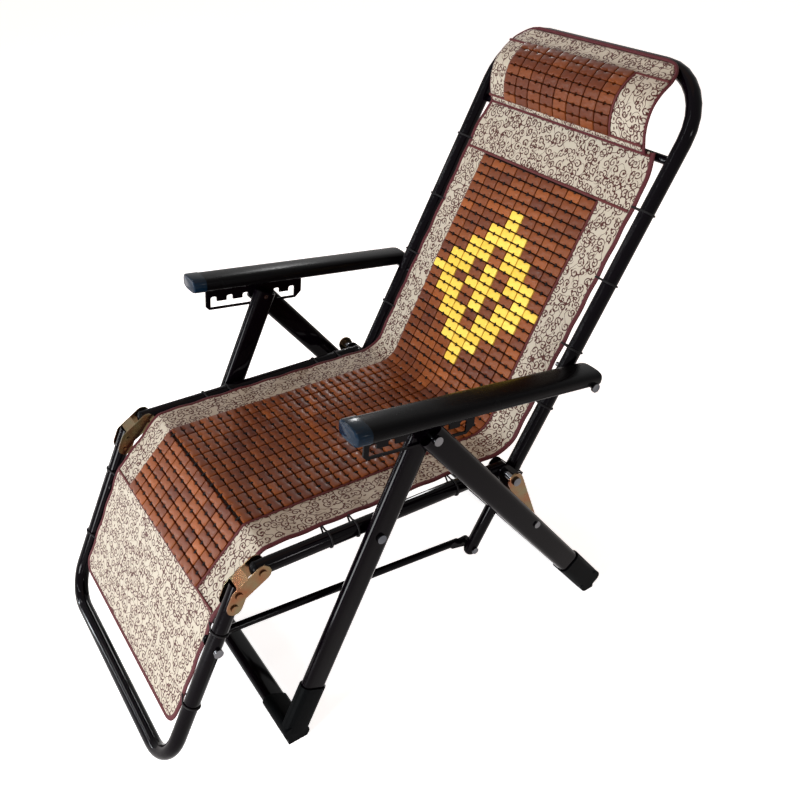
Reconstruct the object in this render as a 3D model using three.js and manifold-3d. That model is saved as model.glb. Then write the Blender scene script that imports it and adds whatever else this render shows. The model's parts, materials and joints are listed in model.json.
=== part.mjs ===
// Bamboo folding recliner: steel tube frame, crossed folding legs, notched armrest racks,
// offset folding hinges and a link bar that makes the leg rest follow the back.
// Millimetres, +Z up, the sitter faces -Y, the chair is mirrored about X = 0.

import * as THREE from 'three';
import { mergeVertices } from 'three/addons/utils/BufferGeometryUtils.js';
import Module from 'manifold-3d';

const kit = await Module();
kit.setup();

// Pivot centres in the side plane, as [rearward, up]
const PIVOT = {
  legCross: [-282.7, 493.3],
  legSeat: [-374.0, 337.5],
  rearHinge: [-120.1, 325.0],
  linkLeg: [-92.0, 232.3],
  backLink: [-182.2, 183.4],
  restLink: [-643.6, 242.9],
  frontHinge: [-554.1, 351.0],
  bracketUpper: [-594.8, 329.8],
  bracketLower: [-605.3, 311.8],
  armBack: [9.0, 469.6],
  frontFoot: [-560.5, 17.66],
  rearFoot: [43.8, 18.34],
};

// Armrest centre line
const ARM_FRONT = [-412.2, 551.5];
const ARM_REAR = [27.9, 475.2];

// Back and leg rest centre lines
const BACK_FOOT = [-97.6, 310.0];
const BACK_TOP = [278.3, 872.7];
const REST_FOOT = [-761.1, 44.7];

// Clearance between pieces that touch on the real chair
const CLEARANCE = 0.3;

// Points closer together than this are one point, and facets flatter than this are one facet
const WELD = CLEARANCE / 300;
const FLAT = CLEARANCE / 60;

// Round tube stock
const TUBE = { radius: 12.5, wall: 1.2, sides: 16 };
const HALF_WIDTH = 236.0;
const HALF_WIDTH_TOP = 241.5;
const BACK_CORNER = 100.0;
const REST_CORNER = 60.0;
const CORNER_STEPS = 8;

// Flat-oval leg stock, its two layers outboard of the rails and the rubber shoes
const LEG = {
  depth: 42.0,
  width: 20.0,
  wall: 1.2,
  barEase: 0.8,
  overrun: 8.0,
  frontLayer: 28.4,
  rearLayer: 54.0,
};
const SHOE = { wall: 2.5, upLeg: 88.0, alongBar: 70.0, reach: 40.0, soleFront: 17.0, soleRear: 7.0 };

// Sheet-metal layer between the two legs
const PLATE = { layer: 40.9, thickness: 3.0 };
const LINK_PLATE = { eye: 14.0, flange: 9.0, flangeThick: 2.5 };
const RACK = {
  rise: 12.5,
  drop: 54.0,
  frontEnd: 46.0,
  rearEnd: 36.0,
  pitch: 31.0,
  notches: 6,
  pinNotch: 4,
  notchHalf: 6.0,
  notchTop: 6.0,
  channelTop: 3.5,
  channelBottom: 14.0,
};

// Rounded roof of one notch, as shares of its half width and of its height
const NOTCH_SHARES = [[1, 0.5], [0.8, 0.8], [0.4, 1]];

// Armrests. Their ends taper as [share of the rounded stretch, share of the full section].
const ARM = { layer: 45.0, width: 53.0, height: 25.0, capLength: 24.0, capGrow: 0.9, edge: 4.0 };
const ARM_SQUARENESS = 0.62;
const ARM_TAIL_SHARES = [[0, 1], [0.7, 0.94], [1, 0.78]];
const ARM_NOSE_SHARES = [[0, 0.84], [0.4, 0.96], [1, 1]];

// Rear hinge and the lower arm of the back
const LOWER = {
  radius: 11.0,
  plugIn: 36.0,
  tail: 13.0,
  start: 14.0,
  round: 7.7,
  collarRadius: 12.8,
  collarLength: 7.0,
};
const LOWER_END_SHARES = [[0, 0.45], [0.36, 0.8], [1, 1]];
const SADDLE = { sheet: 2.0, gap: 0.5, length: 44.0, eye: 14.0 };
const SPACER = { radius: 6.5, bore: 4.4 };
const HINGE_BOLT_HEAD = 3.6;

// Front hinge bracket
const RAIL_END = { beyondHinge: 5.5, capLength: 7.5 };
const DOME_SHARES = [[0, 1], [0.35, 0.94], [0.7, 0.76], [1, 0.4]];
const BRACKET = { sheet: 1.8, web: 1.4, gap: 0.5, eye: 13.0, hub: 12.0, webOut: 18.6, tubeStub: 10.0 };

// Link bar
const LINK_BAR = { radius: 6.5, inset: 23.0, eyeThick: 5.0, eye: 10.0, eyeGap: 4.0, overlap: 12.0 };

// Fasteners
const BOLT = { shank: 4.0, head: 7.5, headHeight: 4.5 };
const RIVET = { shank: 3.0, head: 6.0, headHeight: 2.5 };

// Head cross bar
const HEAD_BAR = { radius: 7.0, belowTop: 131.7, drop: 7.5 };

// Mats, and the places of the lacing tabs up each mat as shares of its length
const MAT = {
  thick: 8.0,
  seatLift: 11.0,
  backLift: 4.5,
  restLift: 4.5,
  tieGap: 10.5,
  corner: 40.0,
  cornerTop: 30.0,
  seatFront: 14.0,
  seatRear: 18.0,
  backLow: 44.0,
  overBar: 3.0,
  restTop: 12.0,
  restLength: 262.0,
  tabHalf: 4.0,
};
const SEAT_TAB_SHARES = [0.25, 0.36, 0.81, 0.93];
const BACK_TAB_SHARES = [0.15, 0.37, 0.6, 0.83];
const REST_TAB_SHARES = [0.24, 0.77];

// Arched headrest panel. Its crown line is [share of the way from its foot to the top bar, share
// of its rise], and its thickness follows [share of the crown line, share of the full thickness].
const PILLOW = { sideGap: 37.0, belowBar: 7.0, crown: 43.0, thick: 14.0, hem: 8.0, edge: 3.0 };
const ARCH_SHARES = [
  [0, 0], [0.06, 0.4], [0.17, 0.76], [0.32, 0.95], [0.48, 1], [0.66, 0.87], [0.84, 0.55], [0.93, 0.33],
];
const ARCH_THICK_SHARES = [[0, 0], [0.18, 0.8], [0.45, 1], [0.65, 0.7], [0.8, 0], [1, 0]];
const WRAP_FROM = Math.PI * 0.34;
const WRAP_TO = Math.PI * 0.1;
const WRAP_STEPS = 4;

const BODY_SIDES = 24;
const PIN_SIDES = 16;

// Vector helpers in the side plane
const sub = (a, b) => [a[0] - b[0], a[1] - b[1]];
const along = (p, d, k) => [p[0] + d[0] * k, p[1] + d[1] * k];
const unit = (a) => {
  const size = Math.hypot(a[0], a[1]);
  return [a[0] / size, a[1] / size];
};
const turnLeft = (d) => [-d[1], d[0]];
const dot = (a, b) => a[0] * b[0] + a[1] * b[1];

const BACK_DIR = unit(sub(BACK_TOP, BACK_FOOT));
const REST_DIR = unit(sub(REST_FOOT, PIVOT.bracketUpper));
const RAIL_DIR = unit(sub(PIVOT.rearHinge, PIVOT.frontHinge));
const ARM_DIR = unit(sub(ARM_REAR, ARM_FRONT));
const FRONT_LEG_DIR = unit(sub(PIVOT.frontFoot, PIVOT.legCross));
const REAR_LEG_DIR = unit(sub(PIVOT.rearFoot, PIVOT.legCross));

// Solid helpers
function toSolid(geometry) {
  const bare = new THREE.BufferGeometry();
  bare.setAttribute('position', geometry.getAttribute('position'));
  if (geometry.index) bare.setIndex(geometry.index);
  const merged = mergeVertices(bare, WELD);
  const mesh = new kit.Mesh({
    numProp: 3,
    vertProperties: new Float32Array(merged.getAttribute('position').array),
    triVerts: new Uint32Array(merged.index.array),
  });
  return new kit.Manifold(mesh);
}

function toGeometry(solid) {
  const mesh = solid.simplify(FLAT).getMesh();
  const geometry = new THREE.BufferGeometry();
  geometry.setAttribute('position', new THREE.BufferAttribute(new Float32Array(mesh.vertProperties), 3));
  geometry.setIndex(new THREE.BufferAttribute(new Uint32Array(mesh.triVerts), 1));
  geometry.computeVertexNormals();
  return geometry;
}

const join = (...solids) => kit.Manifold.union(solids);
const cut = (body, ...tools) => body.subtract(join(...tools));

// Turns a geometry drawn as (rearward, up, across) into chair axes
function intoChair(geometry) {
  const turn = new THREE.Matrix4().makeBasis(
    new THREE.Vector3(0, 1, 0),
    new THREE.Vector3(0, 0, 1),
    new THREE.Vector3(1, 0, 0),
  );
  return geometry.applyMatrix4(turn);
}

function outline(points) {
  return new THREE.Shape(points.map((p) => new THREE.Vector2(p[0], p[1])));
}

// Side-plane outline made thick across the chair, from x = low to x = high
function slab(shape, xa, xb, curveSegments = CORNER_STEPS) {
  const low = Math.min(xa, xb);
  const depth = Math.abs(xb - xa);
  const geometry = new THREE.ExtrudeGeometry(shape, { depth, bevelEnabled: false, curveSegments });
  geometry.translate(0, 0, low);
  return toSolid(intoChair(geometry));
}

// Round pin across the chair
function pin(centre, radius, xa, xb, sides = PIN_SIDES) {
  const geometry = new THREE.CylinderGeometry(radius, radius, Math.abs(xb - xa), sides);
  geometry.rotateZ(Math.PI / 2);
  geometry.translate((xa + xb) / 2, centre[0], centre[1]);
  return toSolid(geometry);
}

const hole = (centre, radius, xa, xb) => pin(centre, radius + CLEARANCE, xa, xb);

// Hull of two circles in the side plane
function capsule(a, b, ra, rb, steps = CORNER_STEPS) {
  const d = unit(sub(b, a));
  const base = Math.atan2(d[1], d[0]);
  const points = [];
  for (let i = 0; i <= steps; i += 1) {
    const angle = base + Math.PI / 2 + (Math.PI * i) / steps;
    points.push([a[0] + ra * Math.cos(angle), a[1] + ra * Math.sin(angle)]);
  }
  for (let i = 0; i <= steps; i += 1) {
    const angle = base - Math.PI / 2 + (Math.PI * i) / steps;
    points.push([b[0] + rb * Math.cos(angle), b[1] + rb * Math.sin(angle)]);
  }
  return outline(points);
}

// Sweeps a closed convex section along a path that lies in one plane.
// Each station is { at: Vector3, side: Vector3, up: Vector3, scale }.
function sweep(section, stations) {
  const count = section.length;
  const positions = [];
  for (const { at, side, up, scale = 1 } of stations) {
    for (const [u, v] of section) {
      const p = at.clone().addScaledVector(side, u * scale).addScaledVector(up, v * scale);
      positions.push(p.x, p.y, p.z);
    }
  }
  const index = [];
  for (let ring = 0; ring < stations.length - 1; ring += 1) {
    for (let k = 0; k < count; k += 1) {
      const a = ring * count + k;
      const b = ring * count + ((k + 1) % count);
      index.push(a, b, b + count);
      index.push(a, b + count, a + count);
    }
  }
  const last = (stations.length - 1) * count;
  for (let k = 1; k < count - 1; k += 1) {
    index.push(0, k + 1, k);
    index.push(last, last + k, last + k + 1);
  }
  const geometry = new THREE.BufferGeometry();
  geometry.setAttribute('position', new THREE.Float32BufferAttribute(positions, 3));
  geometry.setIndex(index);
  const solid = toSolid(geometry);
  if (solid.volume() > 0) return solid;
  for (let k = 0; k < index.length; k += 3) {
    [index[k], index[k + 1]] = [index[k + 1], index[k]];
  }
  geometry.setIndex(index);
  return toSolid(geometry);
}

function ring(radius, sides) {
  const points = [];
  for (let i = 0; i < sides; i += 1) {
    const angle = (2 * Math.PI * i) / sides;
    points.push([radius * Math.cos(angle), radius * Math.sin(angle)]);
  }
  return points;
}

// Flat-oval section, wide along its second axis
function ovalSection(width, depth, steps = CORNER_STEPS) {
  const radius = width / 2;
  const reach = depth / 2 - radius;
  const points = [];
  for (let i = 0; i <= steps; i += 1) {
    const angle = (Math.PI * i) / steps;
    points.push([radius * Math.cos(angle), reach + radius * Math.sin(angle)]);
  }
  for (let i = 0; i <= steps; i += 1) {
    const angle = Math.PI + (Math.PI * i) / steps;
    points.push([radius * Math.cos(angle), -reach + radius * Math.sin(angle)]);
  }
  return points;
}

// Soft-cornered section for the armrest
function cushionSection(width, height, steps = BODY_SIDES) {
  const points = [];
  for (let i = 0; i < steps; i += 1) {
    const angle = (2 * Math.PI * i) / steps;
    const c = Math.cos(angle);
    const s = Math.sin(angle);
    points.push([
      (width / 2) * Math.sign(c) * Math.abs(c) ** ARM_SQUARENESS,
      (height / 2) * Math.sign(s) * Math.abs(s) ** ARM_SQUARENESS,
    ]);
  }
  return points;
}

// Stations along a straight side-plane line at a constant x
function straight(a, b, x, scales = null) {
  const d = unit(sub(b, a));
  const n = turnLeft(d);
  const side = new THREE.Vector3(1, 0, 0);
  const up = new THREE.Vector3(0, n[0], n[1]);
  const steps = scales ?? [[0, 1], [1, 1]];
  const length = Math.hypot(...sub(b, a));
  return steps.map(([share, scale]) => {
    const p = along(a, d, length * share);
    return { at: new THREE.Vector3(x, p[0], p[1]), side, up, scale };
  });
}

// Round tube or rod between two side-plane points
function rod(a, b, x, radius, sides = TUBE.sides) {
  return sweep(ring(radius, sides), straight(a, b, x));
}

function hollowRod(a, b, x, radius, wall) {
  const d = unit(sub(b, a));
  const bore = rod(along(a, d, -radius), along(b, d, radius), x, radius - wall);
  return cut(rod(a, b, x, radius), bore);
}

// U-shaped path: up one side, across the end and down the other, in the plane of origin and dir
function uStations(origin, dir, start, end, halfStart, halfEnd, corner, extend = 0) {
  const normal = new THREE.Vector3(0, -dir[1], dir[0]);
  const slope = Math.atan2(halfEnd - halfStart, end - start);
  const turn = Math.PI / 2 + slope;
  const tangentLength = corner * Math.tan(turn / 2);
  const flat = [];
  const startX = halfStart - Math.sin(slope) * extend;
  flat.push({ x: startX, s: start - extend, heading: Math.PI / 2 - slope });
  const cornerX = halfEnd - Math.sin(slope) * tangentLength;
  const cornerS = end - Math.cos(slope) * tangentLength;
  const centreX = cornerX - corner * Math.cos(slope);
  const centreS = cornerS + corner * Math.sin(slope);
  for (let i = 0; i <= CORNER_STEPS; i += 1) {
    const angle = -slope + (turn * i) / CORNER_STEPS;
    flat.push({
      x: centreX + corner * Math.cos(angle),
      s: centreS + corner * Math.sin(angle),
      heading: Math.PI / 2 + angle,
    });
  }
  const other = flat.map((p) => ({ x: -p.x, s: p.s, heading: -p.heading })).reverse();
  for (const p of other) p.heading = Math.PI * 2 + p.heading;
  const all = [...flat, ...other];
  return all.map(({ x, s, heading }) => {
    const p = along(origin, dir, s);
    const sx = Math.sin(heading);
    const ss = -Math.cos(heading);
    return {
      at: new THREE.Vector3(x, p[0], p[1]),
      side: new THREE.Vector3(sx, ss * dir[0], ss * dir[1]),
      up: normal,
    };
  });
}

function hollowU(origin, dir, start, end, halfStart, halfEnd, corner) {
  const outer = sweep(
    ring(TUBE.radius, TUBE.sides),
    uStations(origin, dir, start, end, halfStart, halfEnd, corner),
  );
  const inner = sweep(
    ring(TUBE.radius - TUBE.wall, TUBE.sides),
    uStations(origin, dir, start, end, halfStart, halfEnd, corner, TUBE.radius),
  );
  return cut(outer, inner);
}

// Fastener along X: head on the outer side, shank reaching inwards
function fastener(centre, side, headInner, shankEnd, size, collar = null) {
  const parts = [
    pin(centre, size.head, side * headInner, side * (headInner + size.headHeight)),
    pin(centre, size.shank, side * shankEnd, side * (headInner + size.headHeight / 2)),
  ];
  if (collar) parts.push(pin(centre, collar.radius, side * collar.low, side * collar.high));
  return join(...parts);
}

// Finishes
const finish = (color, roughness, metalness) => ({ color, roughness, metalness });
const FINISH = {
  enamel: finish(0x120d16, 0.28, 0.2),
  plastic: finish(0x0e0e10, 0.45, 0),
  zinc: finish(0xb7a878, 0.35, 0.9),
  chrome: finish(0xd9dce0, 0.18, 1),
  rubber: finish(0x101113, 0.7, 0),
  bamboo: finish(0x8a4a24, 0.4, 0),
  brocade: finish(0xcbb79a, 0.8, 0),
};

function piece(name, solid, look) {
  const material = new THREE.MeshStandardMaterial(look);
  const mesh = new THREE.Mesh(toGeometry(solid), material);
  mesh.name = name;
  return mesh;
}

const SIDES = [['left', -1], ['right', 1]];
const pair = (name, make, look) => SIDES.map(([word, side]) => piece(`${name}_${word}`, make(side), look));

// Distances across the chair
const TUBE_OUT = HALF_WIDTH + TUBE.radius;
const TUBE_IN = HALF_WIDTH - TUBE.radius;
const FRONT_LEG_X = HALF_WIDTH + LEG.frontLayer;
const REAR_LEG_X = HALF_WIDTH + LEG.rearLayer;
const FRONT_LEG_OUT = FRONT_LEG_X + LEG.width / 2;
const FRONT_LEG_IN = FRONT_LEG_X - LEG.width / 2;
const REAR_LEG_OUT = REAR_LEG_X + LEG.width / 2;
const REAR_LEG_IN = REAR_LEG_X - LEG.width / 2;
const PLATE_X = HALF_WIDTH + PLATE.layer;
const PLATE_OUT = PLATE_X + PLATE.thickness / 2;
const PLATE_IN = PLATE_X - PLATE.thickness / 2;
const ARM_X = HALF_WIDTH + ARM.layer;
const MAT_HALF = Math.min(HALF_WIDTH, HALF_WIDTH_TOP) - TUBE.radius - MAT.tieGap;
const BACK_LENGTH = Math.hypot(...sub(BACK_TOP, BACK_FOOT));
const HEAD_ALONG = BACK_LENGTH - HEAD_BAR.belowTop;
const MAT_TOP = HEAD_ALONG + MAT.overBar;
const PILLOW_HALF = HALF_WIDTH_TOP - TUBE.radius - PILLOW.sideGap;
const PILLOW_LOW = HEAD_ALONG - PILLOW.belowBar;
const FAR = HALF_WIDTH * 2;

// Seat frame
function seatRail(side) {
  const front = along(PIVOT.frontHinge, RAIL_DIR, -RAIL_END.beyondHinge);
  const body = hollowRod(front, PIVOT.rearHinge, side * HALF_WIDTH, TUBE.radius, TUBE.wall);
  const stub = rod(
    along(PIVOT.rearHinge, RAIL_DIR, -TUBE.wall),
    along(PIVOT.rearHinge, RAIL_DIR, TUBE.radius),
    side * HALF_WIDTH, TUBE.radius,
  );
  const round = pin(PIVOT.rearHinge, TUBE.radius, -FAR, FAR, BODY_SIDES * 2);
  const nose = stub.intersect(round);
  return cut(
    join(body, nose),
    hole(PIVOT.rearHinge, BOLT.shank, side * TUBE_IN / 2, side * FAR),
    hole(PIVOT.legSeat, BOLT.shank, side * TUBE_IN / 2, side * FAR),
    hole(PIVOT.frontHinge, RIVET.shank, side * TUBE_IN / 2, side * FAR),
  );
}

function seatRailCap(side) {
  const x = side * HALF_WIDTH;
  const face = along(PIVOT.frontHinge, RAIL_DIR, -RAIL_END.beyondHinge - CLEARANCE);
  const tip = along(face, RAIL_DIR, -RAIL_END.capLength);
  return sweep(ring(TUBE.radius, TUBE.sides), straight(face, tip, x, DOME_SHARES));
}

function seatPivotBolt(side) {
  return fastener(PIVOT.legSeat, side, FRONT_LEG_OUT + CLEARANCE, TUBE_IN - BOLT.headHeight, BOLT, {
    radius: BOLT.head,
    low: TUBE_OUT + CLEARANCE,
    high: FRONT_LEG_IN - CLEARANCE,
  });
}

// Crossed legs
function legSolid(direction, foot, x, grow) {
  const top = along(PIVOT.legCross, direction, -LEG.overrun);
  const section = ovalSection(LEG.width + 2 * grow, LEG.depth + 2 * grow);
  const legs = SIDES.map(([, side]) => sweep(section, straight(
    along(top, direction, grow < 0 ? grow * LEG.width : 0), foot, side * x,
  )));
  const slim = 2 * grow - LEG.barEase;
  const barSection = ovalSection(LEG.width + slim, LEG.depth + slim).map(([u, v]) => (
    along(along(foot, direction, u), turnLeft(direction), v)
  ));
  const reach = x + (LEG.width + slim) / 2;
  return join(...legs, slab(outline(barSection), -reach, reach));
}

// Height of the cross bar's centre above the sole of its shoe
function footHeight(direction) {
  const radius = (LEG.width - LEG.barEase) / 2;
  const reach = (LEG.depth - LEG.barEase) / 2 - radius;
  return reach * Math.abs(turnLeft(direction)[1]) + radius + SHOE.wall;
}

function legFrame(direction, foot, x, holes) {
  return cut(legSolid(direction, foot, x, 0), legSolid(direction, foot, x, -LEG.wall), ...holes);
}

function footShoe(direction, foot, x, side, soleHalf) {
  const region = slab(
    outline([
      ...[[SHOE.upLeg, 1], [SHOE.upLeg, -1], [-SHOE.reach, -1], [-SHOE.reach, 1]].map(([back, sign]) => (
        along(along(foot, direction, -back), turnLeft(direction), sign * SHOE.reach)
      )),
    ]),
    side * (x - LEG.width / 2 - SHOE.wall * 2),
    side * (x + SHOE.reach),
  );
  const barRegion = slab(
    outline([
      ...[[SHOE.reach, 1], [SHOE.reach, -1], [-SHOE.reach, -1], [-SHOE.reach, 1]].map(([back, sign]) => (
        along(along(foot, direction, -back), turnLeft(direction), sign * SHOE.reach)
      )),
    ]),
    side * (x - SHOE.alongBar),
    side * (x + SHOE.reach),
  );
  const outer = legSolid(direction, foot, x, SHOE.wall).intersect(join(region, barRegion));
  const inner = legSolid(direction, foot, x, CLEARANCE);
  const floor = foot[1] - footHeight(direction);
  const sole = slab(
    outline([
      [foot[0] - soleHalf, floor],
      [foot[0] + soleHalf, floor],
      [foot[0] + soleHalf, foot[1]],
      [foot[0] - soleHalf, foot[1]],
    ]),
    side * (x - SHOE.alongBar),
    side * (x + LEG.width / 2 + SHOE.wall - LEG.barEase),
  );
  return cut(join(outer, sole), inner);
}

const crossInner = (side) => pin(
  PIVOT.legCross, BOLT.shank, side * FRONT_LEG_IN, side * (PLATE_IN - CLEARANCE),
);

// Back
const backHalfWidth = (s) => HALF_WIDTH
  + (HALF_WIDTH_TOP - HALF_WIDTH) * ((s - LOWER.start) / (BACK_LENGTH - LOWER.start));

function backFrame() {
  const frame = hollowU(
    BACK_FOOT, BACK_DIR, LOWER.start, BACK_LENGTH,
    HALF_WIDTH, HALF_WIDTH_TOP, BACK_CORNER,
  );
  const holes = SIDES.map(([, side]) => (
    hole(PIVOT.armBack, BOLT.shank, side * TUBE_IN / 2, side * FAR)
  ));
  return cut(frame, ...holes);
}

function lowerArm(side) {
  const x = side * HALF_WIDTH;
  const top = along(BACK_FOOT, BACK_DIR, LOWER.start + LOWER.plugIn);
  const tail = along(PIVOT.backLink, BACK_DIR, -LOWER.tail);
  const stem = sweep(ring(LOWER.radius - CLEARANCE, TUBE.sides), straight(
    along(BACK_FOOT, BACK_DIR, LOWER.start), top, x,
  ));
  const length = Math.hypot(...sub(BACK_FOOT, tail)) + LOWER.start;
  const roundedEnd = LOWER_END_SHARES.map(([share, scale]) => [share * LOWER.round / length, scale]);
  const main = sweep(ring(LOWER.radius, TUBE.sides), straight(
    tail, along(BACK_FOOT, BACK_DIR, LOWER.start - CLEARANCE), x, [...roundedEnd, [1, 1]],
  ));
  const collar = rod(
    along(BACK_FOOT, BACK_DIR, LOWER.start - CLEARANCE - LOWER.collarLength),
    along(BACK_FOOT, BACK_DIR, LOWER.start - CLEARANCE), x, LOWER.collarRadius,
  );
  const joint = rod(
    along(BACK_FOOT, BACK_DIR, LOWER.start - CLEARANCE * 2),
    along(BACK_FOOT, BACK_DIR, LOWER.start + CLEARANCE),
    x, LOWER.radius - CLEARANCE,
  );
  return cut(
    join(stem, main, collar, joint),
    hole(PIVOT.backLink, RIVET.shank, side * TUBE_IN / 2, side * FAR),
  );
}

function hingeSaddle(side) {
  const x = side * HALF_WIDTH;
  const inner = TUBE.radius + SADDLE.gap;
  const outer = inner + SADDLE.sheet;
  const low = LOWER.start - CLEARANCE * 2 - LOWER.collarLength - SADDLE.length;
  const onBack = (s, n) => along(along(BACK_FOOT, BACK_DIR, s), turnLeft(BACK_DIR), n);
  const high = low + SADDLE.length;
  const behind = LOWER.radius + SADDLE.gap + SADDLE.sheet;
  const tail = outline([onBack(low, -behind), onBack(high, -behind), onBack(high, 0), onBack(low, 0)]);
  const arm = capsule(PIVOT.rearHinge, onBack((low + high) / 2, 0), SADDLE.eye, SADDLE.length / 2);
  const plate = (xa, xb) => join(slab(tail, xa, xb), slab(arm, xa, xb));
  const cheeks = [
    plate(x + inner, x + outer),
    plate(x - outer, x - inner),
  ];
  const web = slab(
    outline([
      onBack(low, -behind),
      onBack(high, -behind),
      onBack(high, -behind + SADDLE.sheet),
      onBack(low, -behind + SADDLE.sheet),
    ]),
    x - outer, x + outer,
  );
  const clearTube = rod(onBack(low - FAR, 0), onBack(high + FAR, 0), x, LOWER.radius + CLEARANCE);
  return cut(
    join(...cheeks, web),
    clearTube,
    hole(PIVOT.rearHinge, BOLT.shank, side * TUBE_IN / 2, side * FAR),
  );
}

function headBar() {
  const centre = along(along(BACK_FOOT, BACK_DIR, HEAD_ALONG), turnLeft(BACK_DIR), -HEAD_BAR.drop);
  const bar = pin(centre, HEAD_BAR.radius, -HALF_WIDTH_TOP, HALF_WIDTH_TOP);
  const frame = sweep(
    ring(TUBE.radius + CLEARANCE, TUBE.sides * 2),
    uStations(
      BACK_FOOT, BACK_DIR, LOWER.start, BACK_LENGTH,
      HALF_WIDTH, HALF_WIDTH_TOP, BACK_CORNER,
    ),
  );
  const trimmed = cut(bar, frame, ...SIDES.map(([, side]) => pin(
    centre, HEAD_BAR.radius * 2, side * HALF_WIDTH, side * FAR,
  )));
  return trimmed;
}

// Rear hinge hardware
const SADDLE_OUT = HALF_WIDTH + TUBE.radius + SADDLE.gap + SADDLE.sheet;
const SADDLE_IN = HALF_WIDTH - TUBE.radius - SADDLE.gap - SADDLE.sheet;

function rearHingeBolt(side) {
  return fastener(PIVOT.rearHinge, side, PLATE_OUT + CLEARANCE, SADDLE_IN - SADDLE.gap, {
    ...BOLT,
    headHeight: HINGE_BOLT_HEAD,
  });
}

function rearHingeSpacer(side) {
  return cut(
    pin(PIVOT.rearHinge, SPACER.radius, side * (SADDLE_OUT + CLEARANCE), side * (PLATE_IN - CLEARANCE)),
    pin(PIVOT.rearHinge, SPACER.bore, side * TUBE_IN, side * FAR),
  );
}

function rearLink(side) {
  const xa = side * PLATE_IN;
  const xb = side * PLATE_OUT;
  const d = unit(sub(PIVOT.linkLeg, PIVOT.rearHinge));
  const n = turnLeft(d);
  const plate = slab(capsule(PIVOT.rearHinge, PIVOT.linkLeg, LINK_PLATE.eye, LINK_PLATE.eye), xa, xb);
  const start = along(PIVOT.rearHinge, d, LINK_PLATE.eye);
  const end = along(PIVOT.linkLeg, d, -LINK_PLATE.eye);
  const edge = -LINK_PLATE.eye;
  const flange = slab(
    outline([
      along(start, n, edge),
      along(end, n, edge),
      along(end, n, edge + LINK_PLATE.flangeThick),
      along(start, n, edge + LINK_PLATE.flangeThick),
    ]),
    side * (PLATE_IN - LINK_PLATE.flange), xb,
  );
  return cut(
    join(plate, flange),
    hole(PIVOT.rearHinge, BOLT.shank, side * TUBE_IN, side * FAR),
    hole(PIVOT.linkLeg, RIVET.shank, side * TUBE_IN, side * FAR),
  );
}

// Armrests
const ARM_LENGTH = Math.hypot(...sub(ARM_REAR, ARM_FRONT));

function armrest(side) {
  const start = along(ARM_FRONT, ARM_DIR, ARM.capLength + CLEARANCE);
  const length = ARM_LENGTH - ARM.capLength - CLEARANCE;
  const rounding = 2 * ARM.edge / length;
  const tail = ARM_TAIL_SHARES.map(([share, scale]) => [1 - rounding * (1 - share), scale]);
  const body = sweep(
    cushionSection(ARM.width, ARM.height),
    straight(start, ARM_REAR, side * ARM_X, [[0, 1], ...tail]),
  );
  return cut(body, hole(PIVOT.armBack, BOLT.shank, side * TUBE_IN, side * FAR));
}

function armrestCap(side) {
  const nose = ARM_NOSE_SHARES.map(([share, scale]) => [share * ARM.edge / ARM.capLength, scale]);
  return sweep(
    cushionSection(ARM.width + 2 * ARM.capGrow, ARM.height + 2 * ARM.capGrow),
    straight(ARM_FRONT, along(ARM_FRONT, ARM_DIR, ARM.capLength), side * ARM_X, [...nose, [1, 1]]),
  );
}

// Rack plate: one slot whose roof has six notches for the leg pin
function armrestRack(side) {
  const normal = turnLeft(ARM_DIR);
  const up = normal[1] > 0 ? normal : [-normal[0], -normal[1]];
  const pinAlong = dot(sub(PIVOT.legCross, ARM_FRONT), ARM_DIR);
  const pinUp = dot(sub(PIVOT.legCross, ARM_FRONT), up);
  const at = (s, v) => along(along(ARM_FRONT, ARM_DIR, s), up, v);
  const first = pinAlong - RACK.pitch * (RACK.pinNotch - 1);
  const last = pinAlong + RACK.pitch * (RACK.notches - RACK.pinNotch);
  const low = first - RACK.frontEnd + RACK.pitch;
  const high = last + RACK.rearEnd - RACK.pitch / 2;
  const top = -RACK.rise - CLEARANCE;
  const bottom = -RACK.drop;
  const chamfer = RACK.notchHalf;
  const shape = outline([
    at(low, top),
    at(high, top),
    at(high, bottom + chamfer * 2),
    at(high - chamfer * 2, bottom),
    at(low + chamfer, bottom),
    at(low, bottom + chamfer),
  ]);
  const roof = pinUp - RACK.channelTop;
  const floor = pinUp - RACK.channelTop - RACK.channelBottom + RACK.notchTop / 2;
  const slot = [];
  slot.push(at(first - RACK.notchHalf, floor));
  slot.push(at(last + RACK.notchHalf, floor));
  for (let k = RACK.notches - 1; k >= 0; k -= 1) {
    const centre = first + RACK.pitch * k;
    slot.push(at(centre + RACK.notchHalf, roof));
    const arch = (sign) => NOTCH_SHARES.map(([across, rise]) => (
      at(centre + sign * RACK.notchHalf * across, pinUp + RACK.notchTop * rise)
    ));
    slot.push(...arch(1), ...arch(-1).reverse());
    slot.push(at(centre - RACK.notchHalf, roof));
  }
  const plate = cut(
    slab(shape, side * PLATE_IN, side * PLATE_OUT),
    slab(outline(slot), side * TUBE_IN, side * FAR),
  );
  return plate;
}

// Leg rest
const REST_LENGTH = Math.hypot(...sub(REST_FOOT, PIVOT.bracketUpper));

function legRestFrame() {
  const frame = hollowU(
    PIVOT.bracketUpper, REST_DIR, -BRACKET.tubeStub, REST_LENGTH, HALF_WIDTH, HALF_WIDTH, REST_CORNER,
  );
  const holes = SIDES.flatMap(([, side]) => [
    hole(PIVOT.bracketUpper, RIVET.shank, side * TUBE_IN / 2, side * FAR),
    hole(PIVOT.bracketLower, RIVET.shank, side * TUBE_IN / 2, side * FAR),
    hole(PIVOT.restLink, BOLT.shank, side * TUBE_IN / 2, side * FAR),
  ]);
  return cut(frame, ...holes);
}

const CHEEK_IN = TUBE.radius + BRACKET.gap;
const CHEEK_OUT = CHEEK_IN + BRACKET.sheet;

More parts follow.
